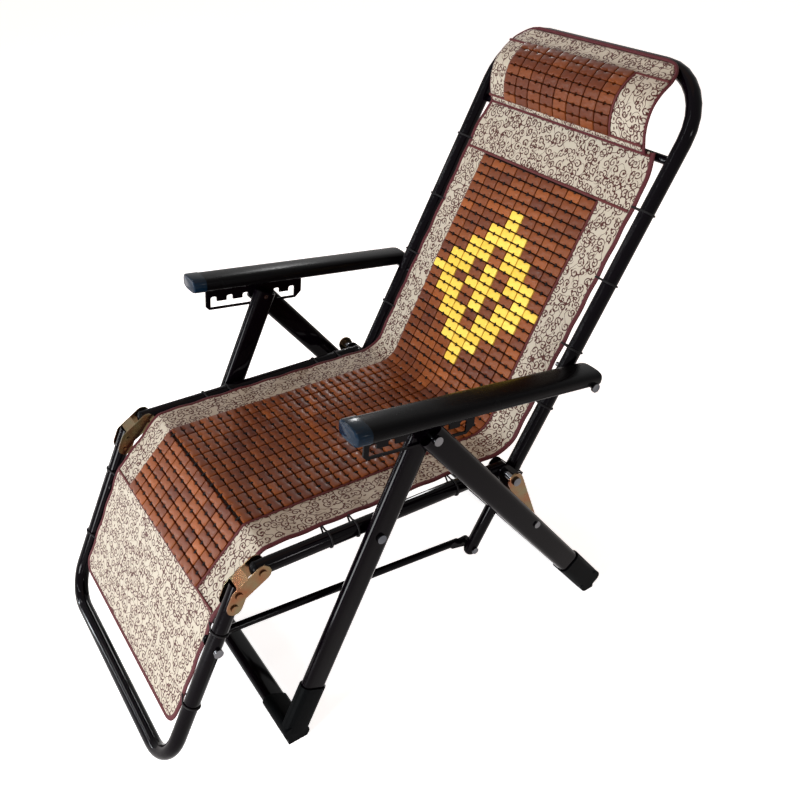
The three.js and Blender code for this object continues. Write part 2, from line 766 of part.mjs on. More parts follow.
function frontBracket(side) {
  const x = side * HALF_WIDTH;
  const shape = [
    capsule(PIVOT.frontHinge, PIVOT.bracketUpper, BRACKET.eye, BRACKET.hub),
    capsule(PIVOT.bracketUpper, PIVOT.bracketLower, BRACKET.hub, BRACKET.hub),
  ];
  const cheek = (xa, xb) => join(...shape.map((s) => slab(s, xa, xb)));
  const d = unit(sub(PIVOT.bracketUpper, PIVOT.frontHinge));
  const n = turnLeft(d);
  const out = n[1] > 0 ? n : [-n[0], -n[1]];
  const webRear = along(along(PIVOT.frontHinge, d, BRACKET.webOut), out, BRACKET.eye - BRACKET.sheet);
  const webFront = along(along(PIVOT.bracketUpper, d, -BRACKET.hub / 2), out, BRACKET.hub - BRACKET.sheet);
  const web = slab(
    outline([
      webRear,
      along(webRear, out, BRACKET.web),
      along(webFront, out, BRACKET.web),
      webFront,
    ]),
    x - CHEEK_OUT, x + CHEEK_OUT,
  );
  return cut(
    join(cheek(x + CHEEK_IN, x + CHEEK_OUT), cheek(x - CHEEK_OUT, x - CHEEK_IN), web),
    hole(PIVOT.frontHinge, RIVET.shank, side * TUBE_IN / 2, side * FAR),
    hole(PIVOT.bracketUpper, RIVET.shank, side * TUBE_IN / 2, side * FAR),
    hole(PIVOT.bracketLower, RIVET.shank, side * TUBE_IN / 2, side * FAR),
  );
}

const BRACKET_OUT = HALF_WIDTH + CHEEK_OUT;
const BRACKET_IN = HALF_WIDTH - CHEEK_OUT;
const bracketRivet = (centre) => (side) => fastener(
  centre, side, BRACKET_OUT + CLEARANCE, BRACKET_IN - RIVET.headHeight, RIVET,
);

// Link bars
function linkBar(side) {
  const x = side * (HALF_WIDTH - LINK_BAR.inset);
  const d = unit(sub(PIVOT.restLink, PIVOT.backLink));
  const eyeOut = side * (TUBE_IN - LINK_BAR.eyeGap);
  const eyeIn = side * (TUBE_IN - LINK_BAR.eyeGap - LINK_BAR.eyeThick);
  const body = rod(
    along(PIVOT.backLink, d, LINK_BAR.overlap),
    along(PIVOT.restLink, d, -LINK_BAR.overlap),
    x, LINK_BAR.radius, PIN_SIDES,
  );
  const eyes = [[PIVOT.backLink, 1], [PIVOT.restLink, -1]].map(([centre, inwards]) => slab(
    capsule(centre, along(centre, d, inwards * 2 * LINK_BAR.overlap), LINK_BAR.eye, LINK_BAR.radius),
    eyeIn, eyeOut,
  ));
  return cut(
    join(body, ...eyes),
    hole(PIVOT.backLink, RIVET.shank, side * HALF_WIDTH / 2, side * FAR),
    hole(PIVOT.restLink, BOLT.shank, side * HALF_WIDTH / 2, side * FAR),
  );
}

// Mats and pillow
// Mat outline with rounded corners and, up each edge, the elastic lacing tabs that tie it to the
// tube. Each tab is { s, reach }: its place up the mat and how far across it reaches.
function matOutline(halfWidth, low, high, cornerLow, cornerHigh, tabs) {
  const shape = new THREE.Shape();
  const notch = (side, ordered, turn) => ordered.forEach(({ s, reach }) => {
    shape.lineTo(side * halfWidth, s - turn * MAT.tabHalf);
    shape.lineTo(side * reach, s - turn * MAT.tabHalf);
    shape.lineTo(side * reach, s + turn * MAT.tabHalf);
    shape.lineTo(side * halfWidth, s + turn * MAT.tabHalf);
  });
  shape.moveTo(-halfWidth + cornerLow, low);
  shape.lineTo(halfWidth - cornerLow, low);
  shape.quadraticCurveTo(halfWidth, low, halfWidth, low + cornerLow);
  notch(1, tabs, 1);
  shape.lineTo(halfWidth, high - cornerHigh);
  shape.quadraticCurveTo(halfWidth, high, halfWidth - cornerHigh, high);
  shape.lineTo(-halfWidth + cornerHigh, high);
  shape.quadraticCurveTo(-halfWidth, high, -halfWidth, high - cornerHigh);
  notch(-1, [...tabs].reverse(), -1);
  shape.lineTo(-halfWidth, low + cornerLow);
  shape.quadraticCurveTo(-halfWidth, low, -halfWidth + cornerLow, low);
  return shape;
}

// Flat mat in the plane through origin and dir, raised on the sitter's side
function mat(origin, dir, low, high, cornerLow, cornerHigh, lift, tubeAt, tabShares) {
  const sunk = Math.max(Math.abs(lift) - MAT.thick / 2, 0);
  const tabs = tabShares.map((share) => {
    const s = low + (high - low) * share;
    return { s, reach: tubeAt(s) - Math.sqrt(TUBE.radius ** 2 - sunk ** 2) - CLEARANCE };
  });
  const geometry = new THREE.ExtrudeGeometry(
    matOutline(MAT_HALF, low, high, cornerLow, cornerHigh, tabs),
    { depth: MAT.thick, bevelEnabled: false, curveSegments: CORNER_STEPS },
  );
  geometry.translate(0, 0, lift - MAT.thick / 2);
  geometry.applyMatrix4(new THREE.Matrix4().makeBasis(
    new THREE.Vector3(1, 0, 0),
    new THREE.Vector3(0, dir[0], dir[1]),
    new THREE.Vector3(0, -dir[1], dir[0]),
  ));
  geometry.translate(0, origin[0], origin[1]);
  return toSolid(geometry);
}

// Share read from a table of [place, value] pairs
function shareAt(table, place) {
  const next = Math.max(1, table.findIndex(([end]) => end >= place));
  const [[fromPlace, fromValue], [toPlace, toValue]] = [table[next - 1], table[next]];
  return fromValue + (toValue - fromValue) * ((place - fromPlace) / (toPlace - fromPlace));
}

// Crown line of the headrest, as [along the back, out from it]: an arch, then a wrap over the bar
function pillowLine() {
  const foot = MAT.backLift + MAT.thick / 2 + CLEARANCE + PILLOW.hem / 2;
  const wrap = TUBE.radius + CLEARANCE + PILLOW.hem / 2;
  const arch = ARCH_SHARES.map(([share, rise]) => new THREE.Vector2(
    PILLOW_LOW + (BACK_LENGTH - PILLOW_LOW) * share,
    foot + (PILLOW.crown - foot) * rise,
  ));
  const over = [];
  for (let i = 0; i <= WRAP_STEPS; i += 1) {
    const angle = WRAP_FROM + (WRAP_TO - WRAP_FROM) * (i / WRAP_STEPS);
    over.push(new THREE.Vector2(BACK_LENGTH + wrap * Math.cos(angle), wrap * Math.sin(angle)));
  }
  return new THREE.SplineCurve([...arch, ...over]);
}

function pillow() {
  const line = pillowLine();
  const steps = PIN_SIDES * 2;
  const sides = [[], []];
  for (let i = 0; i <= steps; i += 1) {
    const at = line.getPointAt(i / steps);
    const dir = line.getTangentAt(i / steps);
    const half = (PILLOW.hem + (PILLOW.thick - PILLOW.hem) * shareAt(ARCH_THICK_SHARES, i / steps)) / 2;
    [1, -1].forEach((sign, k) => sides[k].push([at.x - dir.y * half * sign, at.y + dir.x * half * sign]));
  }
  const geometry = new THREE.ExtrudeGeometry(outline([...sides[1], ...sides[0].reverse()]), {
    depth: 2 * (PILLOW_HALF - PILLOW.edge),
    bevelThickness: PILLOW.edge,
    bevelSize: PILLOW.edge,
    bevelOffset: -PILLOW.edge,
    bevelSegments: 3,
  });
  geometry.translate(0, 0, PILLOW.edge - PILLOW_HALF);
  geometry.applyMatrix4(new THREE.Matrix4().makeBasis(
    new THREE.Vector3(0, BACK_DIR[0], BACK_DIR[1]),
    new THREE.Vector3(0, -BACK_DIR[1], BACK_DIR[0]),
    new THREE.Vector3(1, 0, 0),
  ));
  geometry.translate(0, BACK_FOOT[0], BACK_FOOT[1]);
  return toSolid(geometry);
}

// Assembly
function assemble() {
  const railLength = Math.hypot(...sub(PIVOT.rearHinge, PIVOT.frontHinge));
  const pieces = [
    ...pair('seat_rail', seatRail, FINISH.enamel),
    ...pair('seat_rail_cap', seatRailCap, FINISH.plastic),
    ...pair('seat_pivot_bolt', seatPivotBolt, FINISH.chrome),
    piece('seat_mat', mat(
      PIVOT.frontHinge, RAIL_DIR, MAT.seatFront, railLength - MAT.seatRear,
      CLEARANCE, CLEARANCE, MAT.seatLift, () => HALF_WIDTH, SEAT_TAB_SHARES,
    ), FINISH.bamboo),
    piece('front_leg_frame', legFrame(FRONT_LEG_DIR, PIVOT.frontFoot, FRONT_LEG_X, [
      ...SIDES.map(([, side]) => hole(PIVOT.legCross, BOLT.shank, side * TUBE_IN, side * FAR)),
      ...SIDES.map(([, side]) => hole(PIVOT.legSeat, BOLT.shank, side * TUBE_IN, side * FAR)),
    ]), FINISH.enamel),
    ...pair('front_foot_cap', (side) => footShoe(
      FRONT_LEG_DIR, PIVOT.frontFoot, FRONT_LEG_X, side, SHOE.soleFront,
    ), FINISH.rubber),
    ...pair('leg_pivot_sleeve', crossInner, FINISH.chrome),
    piece('rear_leg_frame', legFrame(REAR_LEG_DIR, PIVOT.rearFoot, REAR_LEG_X, [
      ...SIDES.map(([, side]) => hole(PIVOT.legCross, BOLT.shank, side * TUBE_IN, side * FAR)),
      ...SIDES.map(([, side]) => hole(PIVOT.linkLeg, RIVET.shank, side * TUBE_IN, side * FAR)),
    ]), FINISH.enamel),
    ...pair('rear_foot_cap', (side) => footShoe(
      REAR_LEG_DIR, PIVOT.rearFoot, REAR_LEG_X, side, SHOE.soleRear,
    ), FINISH.rubber),
    ...pair('leg_pivot_bolt', (side) => fastener(
      PIVOT.legCross, side, REAR_LEG_OUT + CLEARANCE, PLATE_OUT + CLEARANCE, BOLT,
    ), FINISH.chrome),
    ...pair('rear_link_rivet', (side) => fastener(
      PIVOT.linkLeg, side, REAR_LEG_OUT + CLEARANCE, PLATE_OUT + CLEARANCE, RIVET,
    ), FINISH.chrome),
    ...pair('rear_link', rearLink, FINISH.zinc),
    ...pair('rear_hinge_bolt', rearHingeBolt, FINISH.chrome),
    ...pair('rear_hinge_spacer', rearHingeSpacer, FINISH.chrome),
    piece('back_frame', backFrame(), FINISH.enamel),
    piece('back_head_cross_bar', headBar(), FINISH.enamel),
    ...pair('back_lower_arm', lowerArm, FINISH.enamel),
    ...pair('rear_hinge_saddle', hingeSaddle, FINISH.enamel),
    piece('back_mat', mat(
      BACK_FOOT, BACK_DIR, MAT.backLow, MAT_TOP, CLEARANCE, MAT.cornerTop, MAT.backLift,
      backHalfWidth, BACK_TAB_SHARES,
    ), FINISH.bamboo),
    piece('headrest_pillow', pillow(), FINISH.brocade),
    ...pair('armrest_pivot_bolt', (side) => fastener(
      PIVOT.armBack, side, ARM_X + ARM.width / 2 + CLEARANCE, TUBE_IN - BOLT.headHeight, BOLT,
    ), FINISH.chrome),
    ...pair('armrest', armrest, FINISH.plastic),
    ...pair('armrest_front_cap', armrestCap, FINISH.plastic),
    ...pair('armrest_rack', armrestRack, FINISH.enamel),
    ...pair('front_hinge_rivet', bracketRivet(PIVOT.frontHinge), FINISH.zinc),
    piece('leg_rest_frame', legRestFrame(), FINISH.enamel),
    ...pair('front_hinge_bracket', frontBracket, FINISH.zinc),
    ...pair('bracket_upper_rivet', bracketRivet(PIVOT.bracketUpper), FINISH.zinc),
    ...pair('bracket_lower_rivet', bracketRivet(PIVOT.bracketLower), FINISH.zinc),
    ...pair('leg_rest_link_bolt', (side) => fastener(
      PIVOT.restLink, side, TUBE_OUT + CLEARANCE, TUBE_IN - LINK_BAR.eyeGap + CLEARANCE, BOLT,
    ), FINISH.chrome),
    piece('leg_rest_mat', mat(
      PIVOT.bracketUpper, REST_DIR, MAT.restTop, MAT.restLength, CLEARANCE, MAT.corner, -MAT.restLift,
      () => HALF_WIDTH, REST_TAB_SHARES,
    ), FINISH.brocade),
    ...pair('link_pivot_rivet', (side) => fastener(
      PIVOT.backLink, side, HALF_WIDTH + LOWER.radius + CLEARANCE,
      TUBE_IN - LINK_BAR.eyeGap - LINK_BAR.eyeThick - RIVET.headHeight, RIVET,
    ), FINISH.chrome),
    ...pair('link_bar', linkBar, FINISH.enamel),
  ];
  const chair = new THREE.Group();
  chair.name = 'recliner_parts';
  chair.add(...pieces);
  chair.updateMatrixWorld(true);
  const box = new THREE.Box3().setFromObject(chair, true);
  const centre = box.getCenter(new THREE.Vector3());
  chair.position.set(0, -centre.y, -box.min.z);
  return chair;
}

const recliner = new THREE.Group();
recliner.name = 'bamboo_folding_recliner';
recliner.add(assemble());

export default recliner;
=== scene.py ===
"""Bamboo folding recliner, dressed for its photograph.

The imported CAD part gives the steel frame, hinges, armrests and fasteners. This script gives those
pieces their finishes and replaces the plain mats and headrest with the sewn ones: brocade cloth
with bound edges, rows of bamboo tiles on elastic cords, an arched padded headrest and the lacing
that ties the mat to the tubes. Lengths are in metres, +Z is up and the sitter faces -Y.
"""

import json
import logging
import math
from dataclasses import dataclass, replace
from enum import Enum
from typing import Any, Callable, Sequence

import bpy
import numpy as np
from mathutils import Matrix, Vector
from mathutils.bvhtree import BVHTree

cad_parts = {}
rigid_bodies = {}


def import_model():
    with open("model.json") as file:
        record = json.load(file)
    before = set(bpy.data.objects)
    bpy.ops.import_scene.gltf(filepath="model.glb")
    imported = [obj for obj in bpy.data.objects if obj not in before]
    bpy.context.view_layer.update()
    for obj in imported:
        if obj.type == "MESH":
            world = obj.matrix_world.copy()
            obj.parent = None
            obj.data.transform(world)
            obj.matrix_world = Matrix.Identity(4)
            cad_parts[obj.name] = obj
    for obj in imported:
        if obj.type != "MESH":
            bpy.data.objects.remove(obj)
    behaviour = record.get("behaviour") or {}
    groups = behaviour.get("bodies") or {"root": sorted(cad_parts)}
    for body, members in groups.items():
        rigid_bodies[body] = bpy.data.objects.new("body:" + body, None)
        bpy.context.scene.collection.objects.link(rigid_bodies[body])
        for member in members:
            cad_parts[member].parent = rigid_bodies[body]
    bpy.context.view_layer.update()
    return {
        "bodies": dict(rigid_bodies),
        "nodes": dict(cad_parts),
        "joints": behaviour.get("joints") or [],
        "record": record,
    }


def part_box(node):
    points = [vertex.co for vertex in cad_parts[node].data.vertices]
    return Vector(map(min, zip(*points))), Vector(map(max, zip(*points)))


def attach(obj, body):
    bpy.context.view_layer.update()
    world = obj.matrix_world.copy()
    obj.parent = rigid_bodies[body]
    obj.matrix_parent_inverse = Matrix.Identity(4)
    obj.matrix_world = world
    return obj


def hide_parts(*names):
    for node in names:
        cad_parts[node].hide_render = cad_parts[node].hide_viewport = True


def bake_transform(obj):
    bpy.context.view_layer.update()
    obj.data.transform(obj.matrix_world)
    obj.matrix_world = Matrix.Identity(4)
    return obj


LOG = logging.getLogger("recliner")
MILLI = 0.001
TURN = 2 * math.pi

Pair = tuple[float, float]
Triple = tuple[float, float, float]
Colour = tuple[float, float, float, float]
Object = bpy.types.Object
Material = bpy.types.Material
Socket = bpy.types.NodeSocket


def spread(low: float, high: float, count: int) -> list[float]:
    """Evenly spaced values from low to high, both included."""
    return [float(v) for v in np.linspace(low, high, count)]


# Anchors


@dataclass(frozen=True)
class SideDrawing:
    """Driving points of the chair's side drawing, as (rearward, up) in metres."""

    knee: Pair = (-0.5541, 0.3510)
    rear_hinge: Pair = (-0.1201, 0.3250)
    rest_top: Pair = (-0.5948, 0.3298)
    rest_foot: Pair = (-0.7611, 0.0447)
    back_foot: Pair = (-0.0976, 0.3100)
    back_top: Pair = (0.2783, 0.8727)


class Side:
    """Places in the chair's side plane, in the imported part's own frame."""

    def __init__(self, drawing: SideDrawing, knee_node: str) -> None:
        """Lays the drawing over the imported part.

        Args:
            drawing: The driving points.
            knee_node: CAD node whose middle is the drawing's knee.
        """
        low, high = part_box(knee_node)
        middle = (low + high) / 2
        self.shift = Vector((middle.y - drawing.knee[0], middle.z - drawing.knee[1]))
        self.knee = self.place(drawing.knee)
        self.rest_top = self.place(drawing.rest_top)
        self.back_foot = self.place(drawing.back_foot)
        self.rest_dir = (self.place(drawing.rest_foot) - self.rest_top).normalized()
        self.rail_dir = (self.place(drawing.rear_hinge) - self.knee).normalized()
        self.back_dir = (self.place(drawing.back_top) - self.back_foot).normalized()

    def place(self, drawn: Pair) -> Vector:
        """Turns a drawn point into the part's frame."""
        return Vector(drawn) + self.shift

    def on_rest(self, down: float, out: float) -> Vector:
        """Point on the leg rest, `down` from its top rivet and `out` towards the sitter."""
        return self.rest_top + self.rest_dir * down + left_of(-self.rest_dir) * out

    def on_seat(self, along: float, out: float) -> Vector:
        """Point on the seat, `along` from the front hinge and `out` above the rail's axis."""
        return self.knee + self.rail_dir * along + left_of(self.rail_dir) * out

    def on_back(self, along: float, out: float) -> Vector:
        """Point on the back, `along` from its foot and `out` towards the sitter."""
        return self.back_foot + self.back_dir * along + left_of(self.back_dir) * out


def left_of(direction: Vector) -> Vector:
    """Side-plane direction turned a quarter to the left."""
    return Vector((-direction.y, direction.x))


class SideCurve:
    """Smooth line in the side plane, walked by its length."""

    probe: float = 2 * MILLI

    def __init__(self, points: Sequence[Vector]) -> None:
        """Measures the line.

        Args:
            points: Closely spaced side-plane points in order.
        """
        self.points = np.array([tuple(p) for p in points], float)
        steps = np.linalg.norm(np.diff(self.points, axis=0), axis=1)
        self.reach = np.concatenate([[0.0], np.cumsum(steps)])
        self.length = float(self.reach[-1])

    def at(self, s: float, out: float = 0.0) -> Vector:
        """Side-plane point at length s, moved out along the sitter's side.

        Args:
            s: Length along the line.
            out: Distance off the line.

        Returns:
            The point.
        """
        y = float(np.interp(s, self.reach, self.points[:, 0]))
        z = float(np.interp(s, self.reach, self.points[:, 1]))
        return Vector((y, z)) + self.normal(s) * out

    def tangent(self, s: float) -> Vector:
        """Direction of travel at length s.

        Args:
            s: Length along the line.

        Returns:
            The direction, of length 1.
        """
        start = min(max(s - self.probe, 0.0), self.length - 2 * self.probe)
        y = np.interp([start, start + 2 * self.probe], self.reach, self.points[:, 0])
        z = np.interp([start, start + 2 * self.probe], self.reach, self.points[:, 1])
        return Vector((float(y[1] - y[0]), float(z[1] - z[0]))).normalized()

    def normal(self, s: float) -> Vector:
        """Direction off the line on the sitter's side at length s."""
        return left_of(self.tangent(s))

    def locate(self, point: Vector) -> float:
        """Length at which the line passes nearest to a side-plane point."""
        gaps = np.linalg.norm(self.points - np.array(tuple(point)), axis=1)
        return float(self.reach[int(gaps.argmin())])

    def solid(self, x: float, s: float, out: float) -> Vector:
        """Point in space at distance x across, length s and out from the line."""
        p = self.at(s, out)
        return Vector((x, p.x, p.y))

    def facing(self, s: float) -> Vector:
        """Sitter's side direction in space at length s."""
        n = self.normal(s)
        return Vector((0.0, n.x, n.y))

    def resampled(self) -> list[Vector]:
        """Points of the line one millimetre apart, without its end."""
        return [self.at(s) for s in np.arange(0.0, self.length, MILLI)]


def filleted(corners: Sequence[Vector], radii: Sequence[float], steps: int = 20) -> SideCurve:
    """Joins straight runs by arcs.

    Args:
        corners: End points and the corner points between them.
        radii: Radius of the arc at each inner corner.
        steps: Chords in each arc.

    Returns:
        The line, walked from the first corner to the last.
    """
    line = [corners[0]]
    for before, corner, after, radius in zip(corners, corners[1:], corners[2:], radii):
        back, ahead = (before - corner).normalized(), (after - corner).normalized()
        half = back.angle(ahead) / 2
        centre = corner + (back + ahead).normalized() * (radius / math.sin(half))
        start = corner + back * (radius / math.tan(half)) - centre
        end = corner + ahead * (radius / math.tan(half)) - centre
        first = math.atan2(start.y, start.x)
        turn = math.remainder(math.atan2(end.y, end.x) - first, TURN)
        for k in range(steps + 1):
            angle = first + turn * k / steps
            line.append(centre + Vector((math.cos(angle), math.sin(angle))) * radius)
    line.append(corners[-1])
    return SideCurve(line)


def crossing(a: Vector, a_dir: Vector, b: Vector, b_dir: Vector) -> Vector:
    """Finds where two side-plane lines cross.

    Args:
        a: A point of the first line.
        a_dir: Its direction.
        b: A point of the second line.
        b_dir: Its direction.

    Returns:
        The point on both lines.
    """
    offset = b - a
    share = (offset.x * b_dir.y - offset.y * b_dir.x) / (a_dir.x * b_dir.y - a_dir.y * b_dir.x)
    return a + a_dir * share


def flowing(points: Sequence[Vector], steps: int = 12) -> list[Vector]:
    """Draws a Catmull-Rom line through given points.

    Args:
        points: The chosen points.
        steps: Chords between two of them.

    Returns:
        Points of the line.
    """
    ends = [points[0] * 2 - points[1], *points, points[-1] * 2 - points[-2]]
    line: list[Vector] = []
    for p0, p1, p2, p3 in zip(ends, ends[1:], ends[2:], ends[3:]):
        square, cube = p0 * 2 - p1 * 5 + p2 * 4 - p3, p1 * 3 - p0 - p2 * 3 + p3
        for k in range(steps):
            t = k / steps
            line.append((p1 * 2 + (p2 - p0) * t + square * t**2 + cube * t**3) / 2)
    line.append(points[-1])
    return line


# Mesh building


class Shell:
    """Collects the points and faces of one mesh."""

    sharp_angle: float = math.radians(40)

    def __init__(self) -> None:
        """Starts an empty mesh."""
        self.points: list[Vector] = []
        self.weave: list[Pair] = []
        self.tone: list[float] = []
        self.faces: list[tuple[int, ...]] = []
        self.finish: list[int] = []

    def add(
        self,
        points: Sequence[Vector],
        faces: Sequence[Sequence[int]],
        weave: Sequence[Pair] | None = None,
        tone: float = 0.5,
        finish: int | Sequence[int] = 0,
    ) -> None:
        """Adds one closed form.

        Args:
            points: Its points.
            faces: Its faces, by point number.
            weave: Cloth or grain coordinates in metres, one per point.
            tone: Shade of the form, from 0 to 1.
            finish: Number of its finish, or one for each face.
        """
        first = len(self.points)
        self.points.extend(points)
        self.weave.extend(weave if weave is not None else [(p.x, p.y + p.z) for p in points])
        self.tone.extend([tone] * len(points))
        self.faces.extend(tuple(first + k for k in face) for face in faces)
        self.finish.extend([finish] * len(faces) if isinstance(finish, int) else finish)

    def sweep(
        self,
        centres: Sequence[Vector],
        facings: Sequence[Vector],
        section: Sequence[Pair],
        finish: int = 0,
    ) -> None:
        """Adds a section swept along a line.

        Args:
            centres: Line of the sweep.
            facings: Outward direction at each centre.
            section: (across, out) points.
            finish: Number of its finish.
        """
        last, sides = len(centres) - 1, len(section)
        points: list[Vector] = []
        weave: list[Pair] = []
        run = 0.0
        for k, (centre, facing) in enumerate(zip(centres, facings)):
            ahead, behind = centres[min(k + 1, last)], centres[max(k - 1, 0)]
            tangent = (ahead - behind).normalized()
            across = tangent.cross(facing).normalized()
            out = across.cross(tangent).normalized()
            run += (centre - behind).length
            points.extend(centre + across * u + out * v for u, v in section)
            weave.extend((j / sides * section[0][0], run) for j in range(sides))
        faces = joined_rings(last + 1, sides)
        faces.append(tuple(range(sides)))
        faces.append(tuple(last * sides + j for j in reversed(range(sides))))
        self.add(points, faces, weave, finish=finish)

    def build(self, name: str, finishes: Sequence[Material], smooth: bool = True) -> Object:
        """Makes the object.

        Args:
            name: Name of the piece.
            finishes: Materials, in the order of the faces' finish numbers.
            smooth: Whether faces are shaded smooth, with edges over the sharp angle kept sharp.

        Returns:
            The new object, linked to the scene.
        """
        mesh = bpy.data.meshes.new(name)
        mesh.from_pydata([tuple(p) for p in self.points], [], self.faces)
        for material in finishes:
            mesh.materials.append(material)
        mesh.polygons.foreach_set("material_index", self.finish)
        set_weave(mesh, np.array(self.weave, np.float32))
        tone = mesh.attributes.new("tone", "FLOAT", "POINT")
        tone.data.foreach_set("value", np.array(self.tone, np.float32))
        mesh.validate()
        if smooth:
            mesh.shade_smooth()
            mesh.set_sharp_from_angle(angle=self.sharp_angle)
        obj = bpy.data.objects.new(name, mesh)
        bpy.context.scene.collection.objects.link(obj)
        LOG.info("built %s: %d faces", name, len(mesh.polygons))
        return obj


def joined_rings(count: int, sides: int) -> list[tuple[int, ...]]:
    """Joins each ring of points to the next by quads.

    Args:
        count: Number of rings, numbered one after another.
        sides: Points in each.

    Returns:
        The faces between the rings.
    """
    faces: list[tuple[int, ...]] = []
    for a in range(0, (count - 1) * sides, sides):
        for j in range(sides):
            n = (j + 1) % sides
            faces.append((a + j, a + sides + j, a + sides + n, a + n))
    return faces


def set_weave(mesh: bpy.types.Mesh, weave: np.ndarray) -> None:
    """Writes cloth or grain coordinates into a mesh.

    Args:
        mesh: The mesh.
        weave: A row of two coordinates for each point.
    """
    corners = np.zeros(len(mesh.loops), np.int32)
    mesh.loops.foreach_get("vertex_index", corners)
    layer = mesh.uv_layers.get("weave") or mesh.uv_layers.new(name="weave")
    layer.data.foreach_set("uv", weave[corners].ravel())


def coordinates(obj: Object) -> np.ndarray:
    """Reads the points of a mesh object.

    Args:
        obj: The object.

    Returns:
        One row for each point.
    """
    flat = np.zeros(len(obj.data.vertices) * 3, np.float32)
    obj.data.vertices.foreach_get("co", flat)
    return flat.reshape(-1, 3).astype(float)


def apply_modifiers(obj: Object) -> None:
    """Makes an object's modifiers permanent.

    Args:
        obj: A mesh object with no parent.
    """
    graph = bpy.context.evaluated_depsgraph_get()
    made = bpy.data.meshes.new_from_object(obj.evaluated_get(graph))
    obj.modifiers.clear()
    obj.data = made


def oval(width: float, thick: float, sides: int) -> list[Pair]:
    """Oval section of a tape or cord, as (across, out) points."""
    turns = [TURN * k / sides for k in range(sides)]
    return [(width / 2 * math.cos(a), thick / 2 * math.sin(a)) for a in turns]


# Finishes


class Graph:
    """Short forms for adding shader nodes to one node tree."""

    colour_a: int = 6
    colour_b: int = 7
    colour_result: int = 2

    def __init__(self, tree: bpy.types.NodeTree) -> None:
        """Takes the tree that the nodes go into."""
        self.tree = tree

    def add(self, kind: str, **settings: Any) -> bpy.types.Node:
        """Adds a node.

        Args:
            kind: Blender's name of the node type, without "ShaderNode".
            **settings: Properties to set on it.

        Returns:
            The node.
        """
        node = self.tree.nodes.new("ShaderNode" + kind)
        for key, value in settings.items():
            setattr(node, key, value)
        return node

    def feed(self, node: bpy.types.Node, inputs: dict[int | str, Any]) -> bpy.types.Node:
        """Links or sets inputs of a node.

        Args:
            node: The node.
            inputs: An output socket or a plain value for each input, by number or name.

        Returns:
            The same node.
        """
        for key, value in inputs.items():
            if isinstance(value, Socket):
                self.tree.links.new(value, node.inputs[key])
            else:
                node.inputs[key].default_value = value
        return node

    def math(self, operation: str, a: Any, b: Any = 0.0, clamp: bool = False) -> Socket:
        """Adds a math node.

        Args:
            operation: Blender's name of the operation.
            a: First value.
            b: Second value.
            clamp: Whether the result is kept from 0 to 1.

        Returns:
            Its result.
        """
        node = self.add("Math", operation=operation, use_clamp=clamp)
        return self.feed(node, {0: a, 1: b}).outputs[0]

    def vector(self, operation: str, a: Any, b: Any) -> Socket:
        """Adds a vector math node.

        Args:
            operation: Blender's name of the operation.
            a: First vector.
            b: Second vector.

        Returns:
            Its result, a number for a length or a dot product.
        """
        node = self.feed(self.add("VectorMath", operation=operation), {0: a, 1: b})
        return node.outputs["Value" if operation in ("LENGTH", "DOT_PRODUCT") else "Vector"]

    def mix(self, share: Any, a: Any, b: Any) -> Socket:
        """Adds a mix of two colours.

        Args:
            share: Share of the second.
            a: First colour.
            b: Second colour.

        Returns:
            The mixed colour.
        """
        node = self.add("Mix", data_type="RGBA")
        inputs = {"Factor": share, self.colour_a: a, self.colour_b: b}
        return self.feed(node, inputs).outputs[self.colour_result]

    def noise(self, place: Any, scale: float, detail: float = 3.0) -> Socket:
        """Noise value at a place."""
        node = self.add("TexNoise")
        return self.feed(node, {"Vector": place, "Scale": scale, "Detail": detail}).outputs["Fac"]

    def scaled(self, value: Any, factor: float, offset: float) -> Socket:
        """A value times a factor, plus an offset."""
        return self.math("ADD", self.math("MULTIPLY", value, factor), offset)

    def contrast(self, value: Any, zero: float, factor: float) -> Socket:
        """How far a value is over its zero, times a factor, kept from 0 to 1."""
        return self.math("MULTIPLY", self.math("SUBTRACT", value, zero), factor, clamp=True)

    def near(self, value: Any, middle: float, half: float) -> Socket:
        """1 where a value is within half of a middle, else 0."""
        away = self.math("ABSOLUTE", self.math("SUBTRACT", value, middle))
        return self.math("LESS_THAN", away, half)

    def background_ray(self) -> Socket:
        """Finds the rays that see the plain background: straight, mirrored or refracted ones.

        Returns:
            1 for those rays, else 0.
        """
        path = self.add("LightPath").outputs
        sharp = self.math("MAXIMUM", path["Is Glossy Ray"], path["Is Transmission Ray"])
        return self.math("MAXIMUM", path["Is Camera Ray"], sharp)


class Surface(Graph):
    """The nodes of one material with a principled surface."""

    def __init__(self, name: str) -> None:
        """Starts the material.

        Args:
            name: Name of the material.
        """
        self.material = bpy.data.materials.new(name)
        self.material.use_nodes = True
        super().__init__(self.material.node_tree)
        self.shader = self.tree.nodes["Principled BSDF"]

    def set(self, **inputs: Any) -> None:
        """Feeds inputs of the shader, named with _ for each space."""
        self.feed(self.shader, {key.replace("_", " "): value for key, value in inputs.items()})

    def place(self) -> Socket:
        """Place on the object in metres."""
        return self.add("TexCoord").outputs["Object"]

    def weave(self) -> Socket:
        """Cloth or grain coordinates in metres."""
        return self.add("UVMap", uv_map="weave").outputs["UV"]

    def bump(self, height: Any, depth: float, strength: float = 1.0) -> None:
        """Raises the surface by a height map.

        Args:
            height: Value from 0 to 1.
            depth: Height in metres that 1 stands for.
            strength: Share of the effect.
        """
        node = self.add("Bump")
        self.feed(node, {"Strength": strength, "Distance": depth, "Height": height})
        self.set(Normal=node.outputs["Normal"])


def colour(red: float, green: float, blue: float) -> Colour:
    """Linear colour with full cover."""
    return (red, green, blue, 1.0)


